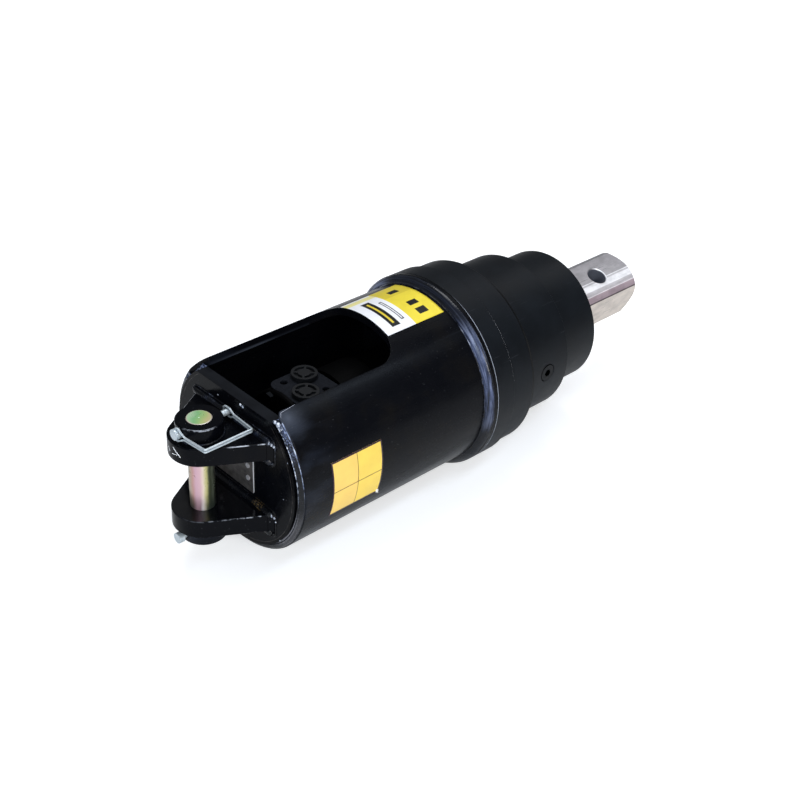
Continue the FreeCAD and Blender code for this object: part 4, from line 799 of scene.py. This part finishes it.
floorLook = {"z": -0.1378, "size": 14.0, "centre": (0.35, 0.0), "near": 0.7, "farOff": 2.2,
             "colour": "f4f4f4", "glow": 0.5, "farGlow": 0.95, "mirrored": 0.2}
floorMesh = bpy.data.meshes.new("studioFloor")
bm = bmesh.new()
bmesh.ops.create_grid(bm, x_segments=1, y_segments=1, size=floorLook["size"])
bmesh.ops.translate(bm, verts=bm.verts[:], vec=(0, 0, floorLook["z"]))
bm.to_mesh(floorMesh)
bm.free()
floor = bpy.data.objects.new("studioFloor", floorMesh)
bpy.context.scene.collection.objects.link(floor)
# matt seamless paper: no sheen, and no grain at this size; it glows to the camera, more so further out
paper, add, shader, place = newMaterial("whitePaperSweep")
shader.inputs["Base Color"].default_value = toLinear(floorLook["colour"])
shader.inputs["Roughness"].default_value = 0.9
rays = add("LightPath").node.outputs
mirrored = allOf(add, rays["Is Glossy Ray"], floorLook["mirrored"])
seen = add("Math", (rays["Is Camera Ray"], mirrored), operation="MAXIMUM")
seen = add("Math", (seen, rays["Is Transmission Ray"]), operation="MAXIMUM")
reach = add("VectorMath", (place, (*floorLook["centre"], floorLook["z"])), operation="DISTANCE")
level = add("MapRange", [reach] + [floorLook[key] for key in ("near", "farOff", "glow", "farGlow")])
shader.inputs["Emission Color"].default_value = (1, 1, 1, 1)
paper.node_tree.links.new(allOf(add, seen, level), shader.inputs["Emission Strength"])
floorMesh.materials.append(paper)

world = bpy.data.worlds.new("studioRoom")
world.use_nodes = True
world.node_tree.nodes.clear()
add = partial(addNode, world.node_tree)
room = add("Background", {"Color": (0.90, 0.94, 1.0, 1), "Strength": 0.2})
backdrop = add("Background", {"Color": (1, 1, 1, 1), "Strength": 1.0})
mixed = add("MixShader", (add("LightPath", output="Is Camera Ray"), room, backdrop))
add("OutputWorld", {"Surface": mixed})
bpy.context.scene.world = world

softboxes = [
    {"name": "leftSoftbox", "at": (-1.6, -0.95, 0.85), "aim": (0.2, 0, 0), "size": (0.8, 0.7), "watts": 18,
     "tint": (0.78, 0.88, 1.0)},
    {"name": "overheadSoftbox", "at": (0.5, 0.4, 2.1), "aim": (0.3, 0, 0), "size": (1.3, 1.0), "watts": 25,
     "tint": (0.98, 0.99, 1.0)},
    {"name": "frontStrip", "at": (0.4, -0.95, 1.45), "aim": (0.3, 0, 0), "size": (2.0, 0.24), "watts": 8,
     "tint": (0.72, 0.84, 1.0)},
    {"name": "frontSoftbox", "at": (-0.25, -2.3, 0.85), "aim": (0.2, 0, 0), "size": (0.9, 0.9), "watts": 28,
     "tint": (1.0, 0.98, 0.95)},
    {"name": "endSoftbox", "at": (2.1, 0.25, 1.5), "aim": (0.7, 0, 0), "size": (0.9, 0.9), "watts": 4,
     "tint": (0.97, 0.98, 1.0)},
]
for look in softboxes:
    lamp = bpy.data.lights.new(look["name"], "AREA")
    lamp.shape = "RECTANGLE"
    lamp.size, lamp.size_y = look["size"]
    lamp.energy = look["watts"]
    lamp.color = look["tint"]
    holder = bpy.data.objects.new(look["name"], lamp)
    holder.location = look["at"]
    holder.rotation_euler = (Vector(look["aim"]) - Vector(look["at"])).to_track_quat("-Z", "Y").to_euler()
    bpy.context.scene.collection.objects.link(holder)

lens = {"at": (-0.7318, -1.0795, 0.9668), "down": 33.413, "turn": 44.533, "roll": 2.913, "focal": 59.563}
cameraData = bpy.data.cameras.new("photoCamera")
cameraData.lens = lens["focal"]
cameraData.sensor_width = 36.0
camera = bpy.data.objects.new("photoCamera", cameraData)
camera.location = lens["at"]
facing = Euler((math.radians(90 - lens["down"]), 0, math.radians(-lens["turn"]))).to_matrix()
camera.rotation_euler = (facing @ Matrix.Rotation(math.radians(lens["roll"]), 3, "Z")).to_euler()
bpy.context.scene.collection.objects.link(camera)
bpy.context.scene.camera = camera
bpy.context.scene.view_settings.view_transform = "Standard"
print("camera and lights set")

bpy.context.view_layer.update()
